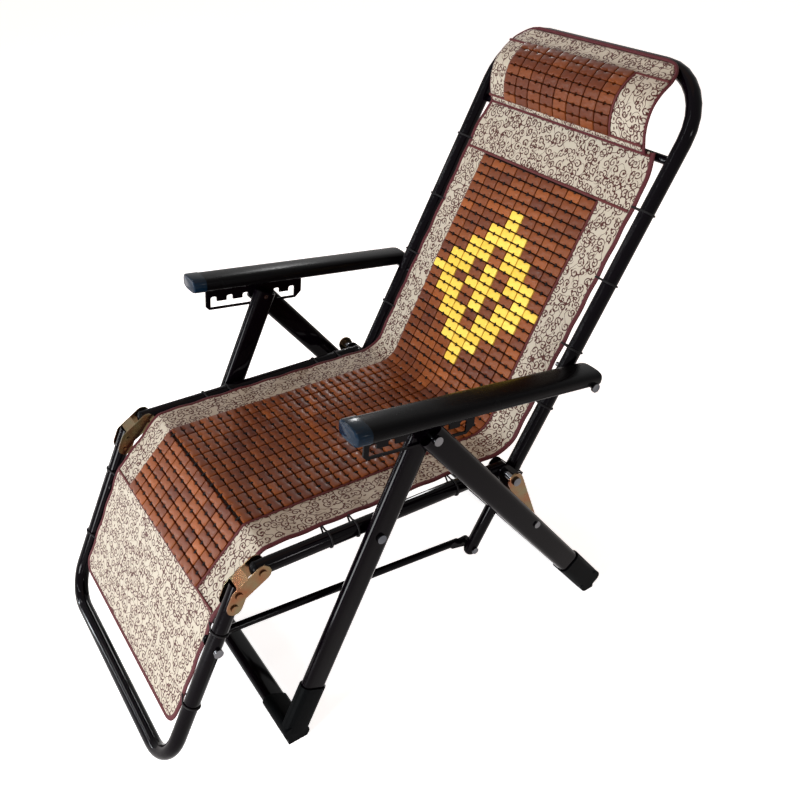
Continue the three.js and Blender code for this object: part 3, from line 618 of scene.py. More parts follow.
@dataclass(frozen=True)
class Coated:
    """Enamel, moulded plastic or rubber: one colour with a faint unevenness in its gloss.

    The gloss changes in patches, which are `patch` times as large as the texture's grains.
    """

    name: str
    base: Colour
    roughness: float
    spread: float
    texture: float = 400.0
    patch: float = 20.0
    relief: float = 0.00002
    relief_share: float = 0.4
    shine: float = 0.5

    def build(self) -> Material:
        """Makes the material.

        Returns:
            The material.
        """
        g = Surface(self.name)
        place = g.place()
        even = g.noise(place, self.texture / self.patch)
        gloss = g.scaled(even, self.spread, self.roughness - self.spread / 2)
        g.set(Base_Color=self.base, Roughness=gloss, Specular_IOR_Level=self.shine)
        g.bump(g.noise(place, self.texture), self.relief, self.relief_share)
        return g.material


@dataclass(frozen=True)
class Plated:
    """Plated steel whose colour drifts between two tints and whose gloss is clouded."""

    name: str
    first: Colour
    second: Colour
    roughness: float
    drift: float = 28.0
    drift_zero: float = 0.35
    drift_contrast: float = 3.2
    cloud: float = 60.0
    cloud_spread: float = 0.08
    grain: float = 300.0
    relief: float = 0.000004
    relief_share: float = 0.2

    def build(self) -> Material:
        """Makes the material.

        Returns:
            The material.
        """
        g = Surface(self.name)
        place = g.place()
        share = g.contrast(g.noise(place, self.drift), self.drift_zero, self.drift_contrast)
        clouds = g.noise(place, self.cloud)
        gloss = g.scaled(clouds, self.cloud_spread, self.roughness - self.cloud_spread / 2)
        g.set(Base_Color=g.mix(share, self.first, self.second), Metallic=1.0, Roughness=gloss)
        g.bump(g.noise(place, self.grain), self.relief, self.relief_share)
        return g.material


@dataclass(frozen=True)
class Tile:
    """Lacquered bamboo tile: grain along the tile, and a shade of its own for each tile."""

    name: str
    dark: Colour
    light: Colour
    grain: Colour
    fibres: Triple = (60.0, 1400.0, 1.0)
    fibre_detail: float = 4.0
    grain_zero: float = 0.5
    grain_contrast: float = 2.2
    roughness: float = 0.42
    coat: float = 0.08
    coat_roughness: float = 0.16
    shine: float = 0.15
    relief: float = 0.00004
    relief_share: float = 0.5

    def build(self) -> Material:
        """Makes the material.

        Returns:
            The material.
        """
        g = Surface(self.name)
        tone = g.add("Attribute", attribute_name="tone").outputs["Fac"]
        fibres = g.noise(g.vector("MULTIPLY", g.weave(), self.fibres), 1.0, self.fibre_detail)
        body = g.mix(tone, self.dark, self.light)
        share = g.contrast(fibres, self.grain_zero, self.grain_contrast)
        g.set(Base_Color=g.mix(share, body, self.grain), Roughness=self.roughness)
        g.set(Specular_IOR_Level=self.shine)
        g.set(Coat_Weight=self.coat, Coat_Roughness=self.coat_roughness)
        g.bump(fibres, self.relief, self.relief_share)
        return g.material


@dataclass(frozen=True)
class Brocade:
    """Woven cloth with small curling scrolls, thin vines and leaf dots."""

    name: str = "brocade_cloth"
    ground: Colour = (0.41, 0.38, 0.31, 1.0)
    weft: Colour = (0.26, 0.21, 0.15, 1.0)
    thread: Colour = (0.050, 0.012, 0.009, 1.0)
    weft_share: float = 0.45
    threads: Triple = (2600.0, 900.0, 1.0)
    thread_detail: float = 2.0
    wander: float = 0.0035
    wander_scale: float = 90.0
    unevenness: float = 0.75
    cell: float = 0.0160
    curl_pitch: float = 0.0056
    curl_reach: float = 0.0080
    curl_phases: float = 7.0
    line_share: float = 0.36
    leaf_cell: float = 0.0074
    leaf_share: float = 0.22
    leaf_squash: Triple = (1.0, 0.6, 1.0)
    leaf_gaps: float = 0.45
    vine_scale: float = 55.0
    vine_width: float = 0.016
    roughness: float = 0.5
    sheen: float = 0.08
    sheen_roughness: float = 0.4
    shine: float = 0.15
    sunk_share: float = 0.6
    relief: float = 0.0002
    relief_share: float = 0.5

    def build(self) -> Material:
        """Makes the material.

        Returns:
            The material.
        """
        g = Surface(self.name)
        weave = g.weave()
        noise = g.feed(g.add("TexNoise"), {"Vector": weave, "Scale": self.wander_scale})
        swing = g.vector("SUBTRACT", noise.outputs["Color"], (0.5, 0.5, 0.5))
        place = g.vector("ADD", weave, g.vector("MULTIPLY", swing, (self.wander,) * 3))
        scrolls = g.math("MAXIMUM", self._curls(g, place), self._leaves(g, place))
        drawn = g.math("MAXIMUM", scrolls, self._vines(g, place))
        threads = g.noise(g.vector("MULTIPLY", weave, self.threads), 1.0, self.thread_detail)
        ground = g.mix(g.math("MULTIPLY", threads, self.weft_share), self.ground, self.weft)
        g.set(Base_Color=g.mix(drawn, ground, self.thread), Roughness=self.roughness)
        g.set(Sheen_Weight=self.sheen, Sheen_Roughness=self.sheen_roughness)
        g.set(Specular_IOR_Level=self.shine)
        height = g.math("ADD", g.math("MULTIPLY", drawn, -self.sunk_share), threads)
        g.bump(height, self.relief, self.relief_share)
        return g.material

    def _cells(self, g: Surface, place: Any, size: float) -> tuple[Socket, Socket]:
        """Scatters centres over the cloth.

        Args:
            g: The material's nodes.
            place: Where on the cloth.
            size: Mean distance of the centres.

        Returns:
            Vector from the nearest centre, and a random value for that centre.
        """
        cells = g.add("TexVoronoi", voronoi_dimensions="2D")
        g.feed(cells, {"Vector": place, "Scale": 1 / size, "Randomness": self.unevenness})
        lot = g.feed(g.add("SeparateColor"), {0: cells.outputs["Color"]})
        return g.vector("SUBTRACT", place, cells.outputs["Position"]), lot.outputs[0]

    def _curls(self, g: Surface, place: Any) -> Socket:
        """Draws a spiral of either hand round each centre.

        Args:
            g: The material's nodes.
            place: Where on the cloth.

        Returns:
            1 on a scroll's line, else 0.
        """
        offset, lot = self._cells(g, place, self.cell)
        x, y = g.feed(g.add("SeparateXYZ"), {0: offset}).outputs[:2]
        reach = g.math("SQRT", g.math("ADD", g.math("POWER", x, 2.0), g.math("POWER", y, 2.0)))
        turn = g.math("DIVIDE", g.math("ARCTAN2", y, x), TURN)
        hand = g.scaled(g.math("GREATER_THAN", lot, 0.5), 2.0, -1.0)
        wound = g.math("DIVIDE", reach, self.curl_pitch)
        spiral = g.math("ADD", wound, g.math("MULTIPLY", turn, hand))
        start = g.math("MULTIPLY", lot, self.curl_phases)
        phase = g.math("FRACT", g.math("ADD", spiral, start))
        line = g.near(phase, 0.5, self.line_share / 2)
        return g.math("MULTIPLY", line, g.math("LESS_THAN", reach, self.curl_reach))

    def _vines(self, g: Surface, place: Any) -> Socket:
        """1 on the thin vine that winds between the scrolls, else 0."""
        return g.near(g.noise(place, self.vine_scale, 0.0), 0.5, self.vine_width)

    def _leaves(self, g: Surface, place: Any) -> Socket:
        """Draws leaf dots at some of the centres.

        Args:
            g: The material's nodes.
            place: Where on the cloth.

        Returns:
            1 on a leaf dot, else 0.
        """
        squashed = g.vector("MULTIPLY", place, self.leaf_squash)
        offset, lot = self._cells(g, squashed, self.leaf_cell)
        reach = g.vector("LENGTH", offset, (0.0, 0.0, 0.0))
        dot = g.math("LESS_THAN", reach, self.leaf_cell * self.leaf_share)
        return g.math("MULTIPLY", dot, g.math("GREATER_THAN", lot, self.leaf_gaps))


def woven(
    name: str,
    base: Colour,
    spread: float = 0.12,
    roughness: float = 0.6,
    texture: float = 900.0,
    relief: float = 0.00012,
    shine: float = 0.1,
) -> Coated:
    """Matt tape, cord or backing with a woven surface.

    Args:
        name: Name of the material.
        base: Its colour.
        spread: Unevenness of its gloss.
        roughness: Middle of its roughness.
        texture: Scale of its threads.
        relief: Height of its threads.
        shine: Level of its mirror reflection.

    Returns:
        The finish.
    """
    return Coated(name, base, roughness, spread, texture=texture, relief=relief, shine=shine)


class Finish(Enum):
    """Every finish on the chair."""

    ENAMEL = Coated(
        "black_enamel", colour(0.0014, 0.0007, 0.0016), 0.08, 0.03, relief=0.000004, shine=0.05
    )
    ARM = Coated(
        "arm_plastic", colour(0.0018, 0.0017, 0.0022), 0.26, 0.1, relief=0.00004, shine=0.035
    )
    # The arm cap is dark plastic; its bluish tint is a painted reflection.
    ARM_CAP = Coated("arm_cap_plastic", colour(0.002, 0.009, 0.020), 0.16, 0.06, shine=0.08)
    RUBBER = Coated(
        "foot_rubber", colour(0.0012, 0.0015, 0.0018), 0.5, 0.12, relief=0.00006, shine=0.02
    )
    ZINC = Plated("yellow_zinc", colour(0.13, 0.11, 0.060), colour(0.17, 0.058, 0.026), 0.26)
    CHROME = Plated("bright_steel", colour(0.12, 0.12, 0.125), colour(0.06, 0.065, 0.075), 0.2)
    BAMBOO = Tile(
        "bamboo_tile",
        dark=colour(0.080, 0.016, 0.0030),
        light=colour(0.23, 0.060, 0.010),
        grain=colour(0.050, 0.010, 0.002),
    )
    YELLOW = Tile(
        "yellow_tile",
        dark=colour(0.64, 0.42, 0.045),
        light=colour(0.80, 0.56, 0.09),
        grain=colour(0.56, 0.34, 0.03),
    )
    BROCADE = Brocade()
    BINDING = woven("binding_tape", colour(0.065, 0.015, 0.018), 0.14, relief=0.00015)
    PIPING = woven("piping", colour(0.080, 0.022, 0.022))
    CORD = woven("elastic_cord", colour(0.006, 0.0055, 0.006), texture=1200.0)
    BACKING = woven(
        "mat_backing", colour(0.012, 0.006, 0.004), 0.1, roughness=0.8, relief=0.0001, shine=0.08
    )


class Finishes:
    """Builds each material once."""

    def __init__(self) -> None:
        """Starts with none built."""
        self._made: dict[Finish, Material] = {}

    def get(self, finish: Finish) -> Material:
        """Looks up the material of a finish.

        Args:
            finish: Which finish.

        Returns:
            Its material.
        """
        if finish not in self._made:
            self._made[finish] = finish.value.build()
            LOG.info("finish %s", finish.name)
        return self._made[finish]

    def all(self, *finishes: Finish) -> list[Material]:
        """The materials of several finishes, in order."""
        return [self.get(finish) for finish in finishes]


# Metal, plastic and rubber pieces


NODE_FINISHES: tuple[tuple[str, Finish], ...] = (
    ("seat_rail_cap", Finish.ARM),
    ("seat_rail", Finish.ENAMEL),
    ("front_leg_frame", Finish.ENAMEL),
    ("rear_leg_frame", Finish.ENAMEL),
    ("back_frame", Finish.ENAMEL),
    ("back_head_cross_bar", Finish.ENAMEL),
    ("back_lower_arm", Finish.ENAMEL),
    ("rear_hinge_saddle", Finish.ENAMEL),
    ("leg_rest_frame", Finish.ENAMEL),
    ("link_bar", Finish.ENAMEL),
    ("armrest_rack", Finish.ENAMEL),
    ("armrest_front_cap", Finish.ARM_CAP),
    ("armrest_pivot", Finish.CHROME),
    ("armrest", Finish.ARM),
    ("front_foot_cap", Finish.RUBBER),
    ("rear_foot_cap", Finish.RUBBER),
    ("rear_link_rivet", Finish.CHROME),
    ("rear_link", Finish.ZINC),
    ("front_hinge", Finish.ZINC),
    ("bracket", Finish.ZINC),
    ("", Finish.CHROME),
)
SOFT_NODES = ("seat_mat", "back_mat", "leg_rest_mat", "headrest_pillow")


@dataclass(frozen=True)
class FacetSize:
    """How the CAD part's facets are joined and smoothed."""

    weld: float = 0.00001
    crease: float = math.radians(32)


class Hardware:
    """The CAD nodes that stay: their facets are smoothed and their finishes put on."""

    def __init__(self, size: FacetSize, nodes: dict[str, Object], finishes: Finishes) -> None:
        """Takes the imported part's nodes.

        Args:
            size: Limits of the smoothing.
            nodes: CAD nodes by name.
            finishes: Builder of the materials.
        """
        self.size, self.nodes, self.finishes = size, nodes, finishes

    def dress(self) -> None:
        """Puts finishes on every node. The soft nodes get cloth, and cloth pieces replace them."""
        smoothing = self._smoothing()
        for name, node in self.nodes.items():
            soft = name in SOFT_NODES
            matches = (kind for prefix, kind in NODE_FINISHES if name.startswith(prefix))
            finish = Finish.BROCADE if soft else next(matches)
            node.data.materials.clear()
            node.data.materials.append(self.finishes.get(finish))
            if not soft:
                modifier = node.modifiers.new("smooth_facets", "NODES")
                modifier.node_group = smoothing
                LOG.info("dressed %s in %s", name, finish.name)

    def _smoothing(self) -> bpy.types.NodeTree:
        """Makes a node group that joins touching facets and shades them smooth up to the crease.

        Returns:
            The node group.
        """
        tree = bpy.data.node_groups.new("smooth_facets", "GeometryNodeTree")
        for way in ("INPUT", "OUTPUT"):
            tree.interface.new_socket("Geometry", in_out=way, socket_type="NodeSocketGeometry")
        source, plain, merge, faces, edges, result, angle, gentle = (
            tree.nodes.new(kind)
            for kind in (
                "NodeGroupInput",
                "GeometryNodeRemoveAttribute",
                "GeometryNodeMergeByDistance",
                "GeometryNodeSetShadeSmooth",
                "GeometryNodeSetShadeSmooth",
                "NodeGroupOutput",
                "GeometryNodeInputMeshEdgeAngle",
                "FunctionNodeCompare",
            )
        )
        plain.inputs["Name"].default_value = "custom_normal"
        merge.inputs["Distance"].default_value = self.size.weld
        faces.domain = "FACE"
        edges.domain = "EDGE"
        gentle.operation = "LESS_THAN"
        gentle.inputs[1].default_value = self.size.crease
        chain = [source, plain, merge, faces, edges, result]
        for before, after in zip(chain, chain[1:]):
            tree.links.new(before.outputs[0], after.inputs[0])
        tree.links.new(angle.outputs[0], gentle.inputs[0])
        tree.links.new(gentle.outputs[0], edges.inputs["Shade Smooth"])
        return tree


# Bamboo tiles


@dataclass(frozen=True)
class TileSize:
    """One bamboo tile, its spacing and its unevenness. A shade goes from 0 for dark to 1."""

    across: float = 0.0310
    along: float = 0.0148
    thick: float = 0.0045
    pitch_across: float = 0.0333
    pitch_along: float = 0.0169
    corner: float = 0.0021
    corner_steps: int = 2
    notch: float = 0.0032
    notch_depth: float = 0.0021
    notch_shares: tuple[Pair, ...] = ((1, 0), (0.6, 1), (-0.6, 1), (-1, 0))
    crown: float = 0.0004
    crown_share: float = 0.55
    ease: float = 0.0007
    tilt: float = 0.006
    skew: float = 0.004
    shade: float = 0.45
    shade_spread: float = 0.24
    grain_lots: float = 3.0

    def outline(self) -> list[Pair]:
        """Draws the rim of the tile with its cord notches.

        Returns:
            (across, along) points in order.
        """
        a, b, c = self.across / 2, self.along / 2, self.corner
        rim: list[Pair] = []
        for quarter, (sx, sy) in enumerate(((1, 1), (-1, 1), (-1, -1), (1, -1))):
            for step in range(self.corner_steps + 1):
                turn = math.pi / 2 * (quarter + step / self.corner_steps)
                rim.append((sx * (a - c) + c * math.cos(turn), sy * (b - c) + c * math.sin(turn)))
            if quarter in (0, 2):
                for reach, depth in self.notch_shares:
                    rim.append((sx * reach * self.notch, sy * (b - depth * self.notch_depth)))
        return rim

    def rings(self) -> list[Triple]:
        """Draws the tile's rings from its foot to its crown.

        Returns:
            (inset across, inset along, height) of each.
        """
        return [
            (0.0, 0.0, 0.0),
            (0.0, 0.0, self.thick - 2 * self.ease),
            (self.ease / 2, self.ease / 2, self.thick - self.ease / 2),
            (self.ease * 2, self.ease * 2, self.thick),
            (self.ease * 4, self.along / 2 * self.crown_share, self.thick + self.crown),
        ]


class Tiler:
    """Lays bamboo tiles on a curve."""

    def __init__(self, size: TileSize, seed: int) -> None:
        """Prepares the tile's form.

        Args:
            size: The tile.
            seed: Start of its random shades.
        """
        self.size = size
        self.random = np.random.default_rng(seed)
        rim, rings = size.outline(), size.rings()
        a, b = size.across / 2, size.along / 2
        self.form = [(x * (a - u) / a, y * (b - v) / b, h) for u, v, h in rings for x, y in rim]
        count = len(rim)
        self.faces = [tuple(reversed(range(count)))]
        self.faces += [(p, s, r, q) for p, q, r, s in joined_rings(len(rings), count)]
        self.faces.append(tuple((len(rings) - 1) * count + j for j in range(count)))

    def lay(
        self, shell: Shell, curve: SideCurve, x: float, s: float, out: float, finish: int = 0
    ) -> None:
        """Lays one tile.

        Args:
            shell: Mesh that takes it.
            curve: Line that it lies on.
            x: Its middle across the chair.
            s: Its middle along the line.
            out: Height of its foot off the line.
            finish: Number of its finish.
        """
        middle, tangent, facing = curve.solid(x, s, out), curve.tangent(s), curve.facing(s)
        along = Vector((0.0, tangent.x, tangent.y))
        tilt = self.random.normal(0.0, self.size.tilt)
        skew = self.random.normal(0.0, self.size.skew)
        points = [
            middle + Vector((u + v * skew, 0, 0)) + along * (v - u * skew) + facing * (h + v * tilt)
            for u, v, h in self.form
        ]
        start = float(self.random.random()) * self.size.grain_lots
        weave = [(start + u, start + v) for u, v, _ in self.form]
        tone = float(np.clip(self.random.normal(self.size.shade, self.size.shade_spread), 0, 1))
        shell.add(points, self.faces, weave, tone, finish)


# The long mat


@dataclass(frozen=True)
class MatSize:
    """The sewn mat that runs from the leg rest over the seat to the head cross bar.

    An out is a height off the tubes' axes. Places on the leg rest, the seat and the back are
    measured along each from its own point of the side drawing. A rise is a share of a thickness.
    """

    half_width: float = 0.213
    head_half: float = 0.200
    head_taper: float = 1.6
    cloth: float = 0.0024
    rest_out: float = 0.0035
    seat_out: float = 0.0112
    back_out: float = 0.0035
    rest_length: float = 0.263
    back_end: float = 0.547
    taper_from: float = 0.490
    foot_corner: float = 0.024
    knee_along: float = 0.018
    knee_radius: float = 0.016
    rest_radius: float = 0.030
    knee_bend: float = 0.010
    lap_radius: float = 0.050
    lap_bend: float = 0.044
    field_rest: float = 0.058
    field_back: float = 0.449
    field_margin: float = 0.004
    field_drift: float = -0.0065
    columns: int = 9
    band_piping: float = 0.453
    pillow_piping: float = 0.541
    tape_width: float = 0.0088
    tape_thick: float = 0.0046
    piping_width: float = 0.0048
    piping_thick: float = 0.0028
    piping_rise: float = 0.25
    cord_radius: float = 0.0015
    cord_rise: float = 0.62
    step: float = 0.006
    ripple: float = 0.0009
    ripple_pitch: float = 0.058
    tape_sides: int = 12
    piping_sides: int = 8
    cord_sides: int = 6
    tile_seed: int = 7

    def tape(self, width: float | None = None) -> list[Pair]:
        """Section of the binding tape, of its own width or another."""
        return oval(width or self.tape_width, self.tape_thick, self.tape_sides)

    def piping(self) -> list[Pair]:
        """Section of the piping."""
        return oval(self.piping_width, self.piping_thick, self.piping_sides)

    def cord(self) -> list[Pair]:
        """Section of the elastic cord under the tiles."""
        return oval(2 * self.cord_radius, 2 * self.cord_radius, self.cord_sides)


@dataclass(frozen=True)
class Lozenges:
    """The two nested lozenges of yellow tiles on the back, counted in tiles."""

    rows_from_head: int = 13
    core: float = 1.0
    ring: Pair = (2.5, 4.0)

    def hold(self, rows_away: int, columns_away: int) -> bool:
        """Whether the tile this far from their middle belongs to them."""
        away = abs(rows_away) / 2 + abs(columns_away)
        return self.ring[0] <= away <= self.ring[1] or away <= self.core


@dataclass(frozen=True)
class Span:
    """One stretch of the mat and the body or bodies that carry it."""

    name: str
    start: float
    end: float
    bodies: tuple[str, ...]
    replaces: str | None = None
    rests_on: tuple[str, ...] = ()

    def carry(self, obj: Object) -> None:
        """Fixes a piece of this stretch to its body if it has one, else bakes the piece's place into
        its points.

        Args:
            obj: The piece.
        """
        if len(self.bodies) == 1:
            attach(obj, self.bodies[0])
        else:
            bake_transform(obj)


class Mat:
    """The long mat: cloth, bindings, piping, tiles and cords, one set for each stretch."""

    band_cells: int = 4
    field_cells: int = 10
    across_points: int = 25
    corner_steps: int = 10
    binding_steps: int = 12

    def __init__(self, size: MatSize, tile: TileSize, side: Side, finishes: Finishes) -> None:
        """Works out the mat's line and stretches.

        Args:
            size: Its sizes.
            tile: The bamboo tile.
            side: Places in the side plane.
            finishes: Builder of the materials.
        """
        self.size, self.tile, self.side, self.finishes = size, tile, side, finishes
        self.lozenges = Lozenges()
        foot = side.on_rest(size.rest_length, size.rest_out)
        rest = side.on_rest(size.field_rest, size.rest_out)
        knee = side.on_seat(size.knee_along, size.seat_out)
        end = side.on_back(size.back_end, size.back_out)
        seat = side.on_seat(0.0, size.seat_out)
        lap = crossing(end, side.back_dir, seat, side.rail_dir)
        radii = [size.rest_radius, size.knee_radius, size.lap_radius]
        rough = filleted([foot, rest, knee, lap, end], radii)
        self.curve = SideCurve(rough.resampled() + [end])
        self.spans = self._spans(rest, knee, lap)
        self.lap_start = self.curve.locate(lap) - size.lap_bend
        field_low = self.curve.locate(rest)
        field_high = self.curve.locate(side.on_back(size.field_back, size.back_out))
        self.rows = round((field_high - field_low) / tile.pitch_along)
        self.row_pitch = (field_high - field_low) / self.rows
        self.field = (field_low, field_high)
        self.tiler = Tiler(tile, size.tile_seed)
        LOG.info("mat line %.3f m, %d rows of tiles", self.curve.length, self.rows)

    def _spans(self, rest: Vector, knee: Vector, lap: Vector) -> list[Span]:
        """Parts the mat into stretches from the leg rest to the head.

        Args:
            rest: Corner of its line on the leg rest.
            knee: Corner of its line at the knee.
            lap: Corner of its line at the lap.

        Returns:
            The stretches in order.
        """
        bend, lap_bend = self.size.knee_bend, self.size.lap_bend
        low, high = self.curve.locate(rest) - bend, self.curve.locate(knee) + bend
        lap_middle = self.curve.locate(lap)
        marks = [0.0, low, (low + high) / 2, high]
        marks += [lap_middle - lap_bend, lap_middle, lap_middle + lap_bend, self.curve.length]
        rows = [
            ("leg_rest", ("leg_rest",), "leg_rest_mat", ("leg_rest_frame",)),
            ("knee_front", ("leg_rest", "rest_pins"), None, ("seat_rail_right",)),
            ("knee_rear", ("rest_pins", "seat"), None, ("seat_rail_right",)),
            ("seat", ("seat",), "seat_mat", ("seat_rail_left", "seat_rail_right")),
            ("lap_front", ("seat", "back_pins"), None, ("seat_rail_right",)),
            ("lap_rear", ("back_pins", "back"), None, ("back_frame",)),
            ("back", ("back",), "back_mat", ("back_frame", "back_head_cross_bar")),
        ]
        return [
            Span(name, start, end, bodies, node, tubes)
            for (name, bodies, node, tubes), start, end in zip(rows, marks, marks[1:])
        ]

    def half_width(self, s: float) -> float:
        """Works out the half width of the mat.

        Args:
            s: Length along the mat.

        Returns:
            Half its width there, less at the foot's round corners and the head.
        """
        z = self.size
        taper = self.curve.length - (z.back_end - z.taper_from)
        if s < z.foot_corner:
            rise = z.foot_corner - s
            return z.half_width - z.foot_corner + math.sqrt(max(z.foot_corner**2 - rise**2, 0.0))
        if s > taper:
            share = (s - taper) / (self.curve.length - taper)
            return z.half_width + (z.head_half - z.half_width) * share**z.head_taper
        return z.half_width

    def drift(self, s: float) -> float:
        """Shift of the tile field across the chair at length s, whole from the back's middle up."""
        share = (s - self.lap_start) / (self.curve.length - self.lap_start) * 2
        return self.size.field_drift * min(max(share, 0.0), 1.0)

    def field_half(self) -> float:
        """Half width of the tile field."""
        return self.size.columns * self.tile.pitch_across / 2

    def column_place(self, column: int) -> float:
        """Middle of a column of tiles, across from the field's own middle."""
        return (column - (self.size.columns - 1) / 2) * self.tile.pitch_across

    def ease(self, x: float, s: float) -> float:
        """Height of the cloth's own waves between its ties."""
        band = max(abs(x) - self.field_half(), 0.0) / (self.size.half_width - self.field_half())
        return self.size.ripple * band * math.sin(TURN * s / self.size.ripple_pitch)

    def on_cloth(self, x: float, s: float, out: float) -> Vector:
        """Point in space at a place on the waved cloth, moved out from its middle layer."""
        return self.curve.solid(x, s, out + self.ease(x, s))

    def stations(self, start: float, end: float) -> list[float]:
        """Evenly spaced lengths from start to end."""
        return spread(start, end, max(2, math.ceil((end - start) / self.size.step) + 1))

    def build(self) -> None:
        """Makes every piece of the mat."""
        for span in self.spans:
            self._cloth(span)
            self._edging(span)
            self._tiles(span)
            self._cords(span)

    def _stations_of(self, span: Span) -> list[float]:
        """Picks the lengths of a stretch's cross rows, closer at the foot's round corners.

        Args:
            span: The stretch.

        Returns:
            The lengths in order.
        """
        if span.start > 0:
            return self.stations(span.start, span.end)
        corner, steps = self.size.foot_corner, self.corner_steps
        rounded = [corner * (1 - math.cos(math.pi / 2 * k / steps)) for k in range(steps)]
        return rounded + self.stations(corner, span.end)

    def _columns(self, s: float) -> list[float]:
        """Picks places across the cloth: side band, field, side band.

        Args:
            s: Length along the mat.

        Returns:
            The places, from -X to +X.
        """
        half, drift = self.half_width(s), self.drift(s)
        field = min(self.field_half(), half - self.size.field_margin)
        left = spread(-half, drift - field, self.band_cells + 1)
        middle = spread(drift - field, drift + field, self.field_cells + 1)
        right = spread(drift + field, half, self.band_cells + 1)
        return left + middle[1:] + right[1:]

    def _cloth(self, span: Span) -> None:
        """Makes the cloth of one stretch.

        Args:
            span: The stretch.
        """
        lengths = self._stations_of(span)
        grid = [self._columns(s) for s in lengths]
        wide, count = len(grid[0]), len(lengths)
        points, weave = [], []
        for out in (self.size.cloth / 2, -self.size.cloth / 2):
            for s, row in zip(lengths, grid):
                points.extend(self.on_cloth(x, s, out) for x in row)
                weave.extend((x, s) for x in row)
        under = wide * count
        faces, marks = [], []
        for i in range(count - 1):
            middle = (lengths[i] + lengths[i + 1]) / 2
            in_field = self.field[0] < middle < self.field[1]
            for j in range(wide - 1):
                a = i * wide + j
                tiled = in_field and self.band_cells <= j < self.band_cells + self.field_cells
                faces.append((a, a + 1, a + wide + 1, a + wide))
                faces.append((under + a, under + a + wide, under + a + wide + 1, under + a + 1))
                marks.extend([int(tiled)] * 2)
        rim = list(range(wide)) + [i * wide + wide - 1 for i in range(1, count)]
        rim += [(count - 1) * wide + j for j in reversed(range(wide - 1))]
        rim += [i * wide for i in reversed(range(1, count - 1))]
        for a, b in zip(rim, rim[1:] + rim[:1]):
            faces.append((b, a, under + a, under + b))
            marks.append(0)
        shell = Shell()
        shell.add(points, faces, weave, finish=marks)
        finishes = self.finishes.all(Finish.BROCADE, Finish.BACKING)
        cloth = shell.build(f"{span.name}_cloth", finishes)
        if span.replaces:
            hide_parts(span.replaces)
        span.carry(cloth)

    def _line(
        self,
        shell: Shell,
        xs: Callable[[float], float],
        limits: Pair,
        out: float,
        section: Sequence[Pair],
        finish: int = 0,
    ) -> None:
        """Adds a tape that runs along the mat, unless it would be too short to see.

        Args:
            shell: Mesh that takes it.
            xs: Its place across the chair at each length.
            limits: Lengths at its ends.
            out: Its height off the cloth's middle layer.
            section: Its section.
            finish: Number of its finish.
        """
        if limits[1] - limits[0] < self.size.step:
            return
        lengths = self.stations(*limits)
        centres = [self.on_cloth(xs(s), s, out) for s in lengths]
        shell.sweep(centres, [self.curve.facing(s) for s in lengths], section, finish)

    def _across(self, shell: Shell, s: float) -> None:
        """Adds a piping that runs across the mat between its bindings.

        Args:
            shell: Mesh that takes it.
            s: Its length along the mat.
        """
        half = self.half_width(s) - self.size.tape_width / 2
        places = spread(-half, half, self.across_points)
        centres = [self.on_cloth(x, s, self._piping_out()) for x in places]
        shell.sweep(centres, [self.curve.facing(s)] * len(places), self.size.piping(), finish=1)

    def _piping_out(self) -> float:
        """Height of the piping off the cloth's middle layer."""
        return self.size.cloth / 2 + self.size.piping_thick * self.size.piping_rise

    def _edging(self, span: Span) -> None:
        """Makes the binding tapes and inner piping of one stretch.

        Args:
            span: The stretch.
        """
        z, shell = self.size, Shell()
        field, first, last = self.field_half(), self.field[0], self.field[1]
        if span.start > 0:
            for hand in (-1, 1):
                limits = (span.start, span.end)
                self._line(shell, lambda s, h=hand: h * self.half_width(s), limits, 0.0, z.tape())
        else:
            self._foot_tape(shell, span)
        limits, raised = (max(span.start, first), min(span.end, last)), self._piping_out()
        for hand in (-1, 1):
            self._line(
                shell, lambda s, h=hand: self.drift(s) + h * field, limits, raised, z.piping(), 1
            )
        if span.start <= first < span.end:
            self._across(shell, first)
        if span.end == self.curve.length:
            for mark in (z.band_piping, z.pillow_piping):
                self._across(shell, self.curve.length - (z.back_end - mark))
        finishes = self.finishes.all(Finish.BINDING, Finish.PIPING)
        edging = shell.build(f"{span.name}_edging", finishes)
        span.carry(edging)

    def _foot_tape(self, shell: Shell, span: Span) -> None:
        """Adds the binding round the leg rest's foot, from one top corner to the other.

        Args:
            shell: Mesh that takes it.
            span: The leg rest's stretch.
        """
        corner, reach = self.size.foot_corner, self.size.half_width - self.size.foot_corner
        flat = [(self.size.half_width, s) for s in reversed(self.stations(corner, span.end))]
        for k in range(1, self.binding_steps + 1):
            turn = -math.pi / 2 * k / self.binding_steps
            flat.append((reach + corner * math.cos(turn), corner * (1 + math.sin(turn))))
        flat += [(-x, s) for x, s in reversed(flat)]
        centres = [self.on_cloth(x, s, 0.0) for x, s in flat]
        facings = [self.curve.facing(max(s, MILLI)) for _, s in flat]
        shell.sweep(centres, facings, self.size.tape())

    def row_places(self, span: Span) -> list[tuple[int, float]]:
        """Rows of tiles whose middles lie in a stretch, as (row number, length)."""
        places = [(k, self.field[0] + (k + 0.5) * self.row_pitch) for k in range(self.rows)]
        return [(k, s) for k, s in places if span.start <= s < span.end]

    def _tiles(self, span: Span) -> None:
        """Makes the tiles of one stretch.

        Args:
            span: The stretch.
        """
        shell, out = Shell(), self.size.cloth / 2
        for row, s in self.row_places(span):
            for column in range(self.size.columns):
                rows_away = row - (self.rows - self.lozenges.rows_from_head)
                yellow = self.lozenges.hold(rows_away, column - self.size.columns // 2)
                x = self.drift(s) + self.column_place(column)
                self.tiler.lay(shell, self.curve, x, s, out, int(yellow))
        if shell.faces:
            finishes = self.finishes.all(Finish.BAMBOO, Finish.YELLOW)
            tiles = shell.build(f"{span.name}_tiles", finishes)
            span.carry(tiles)

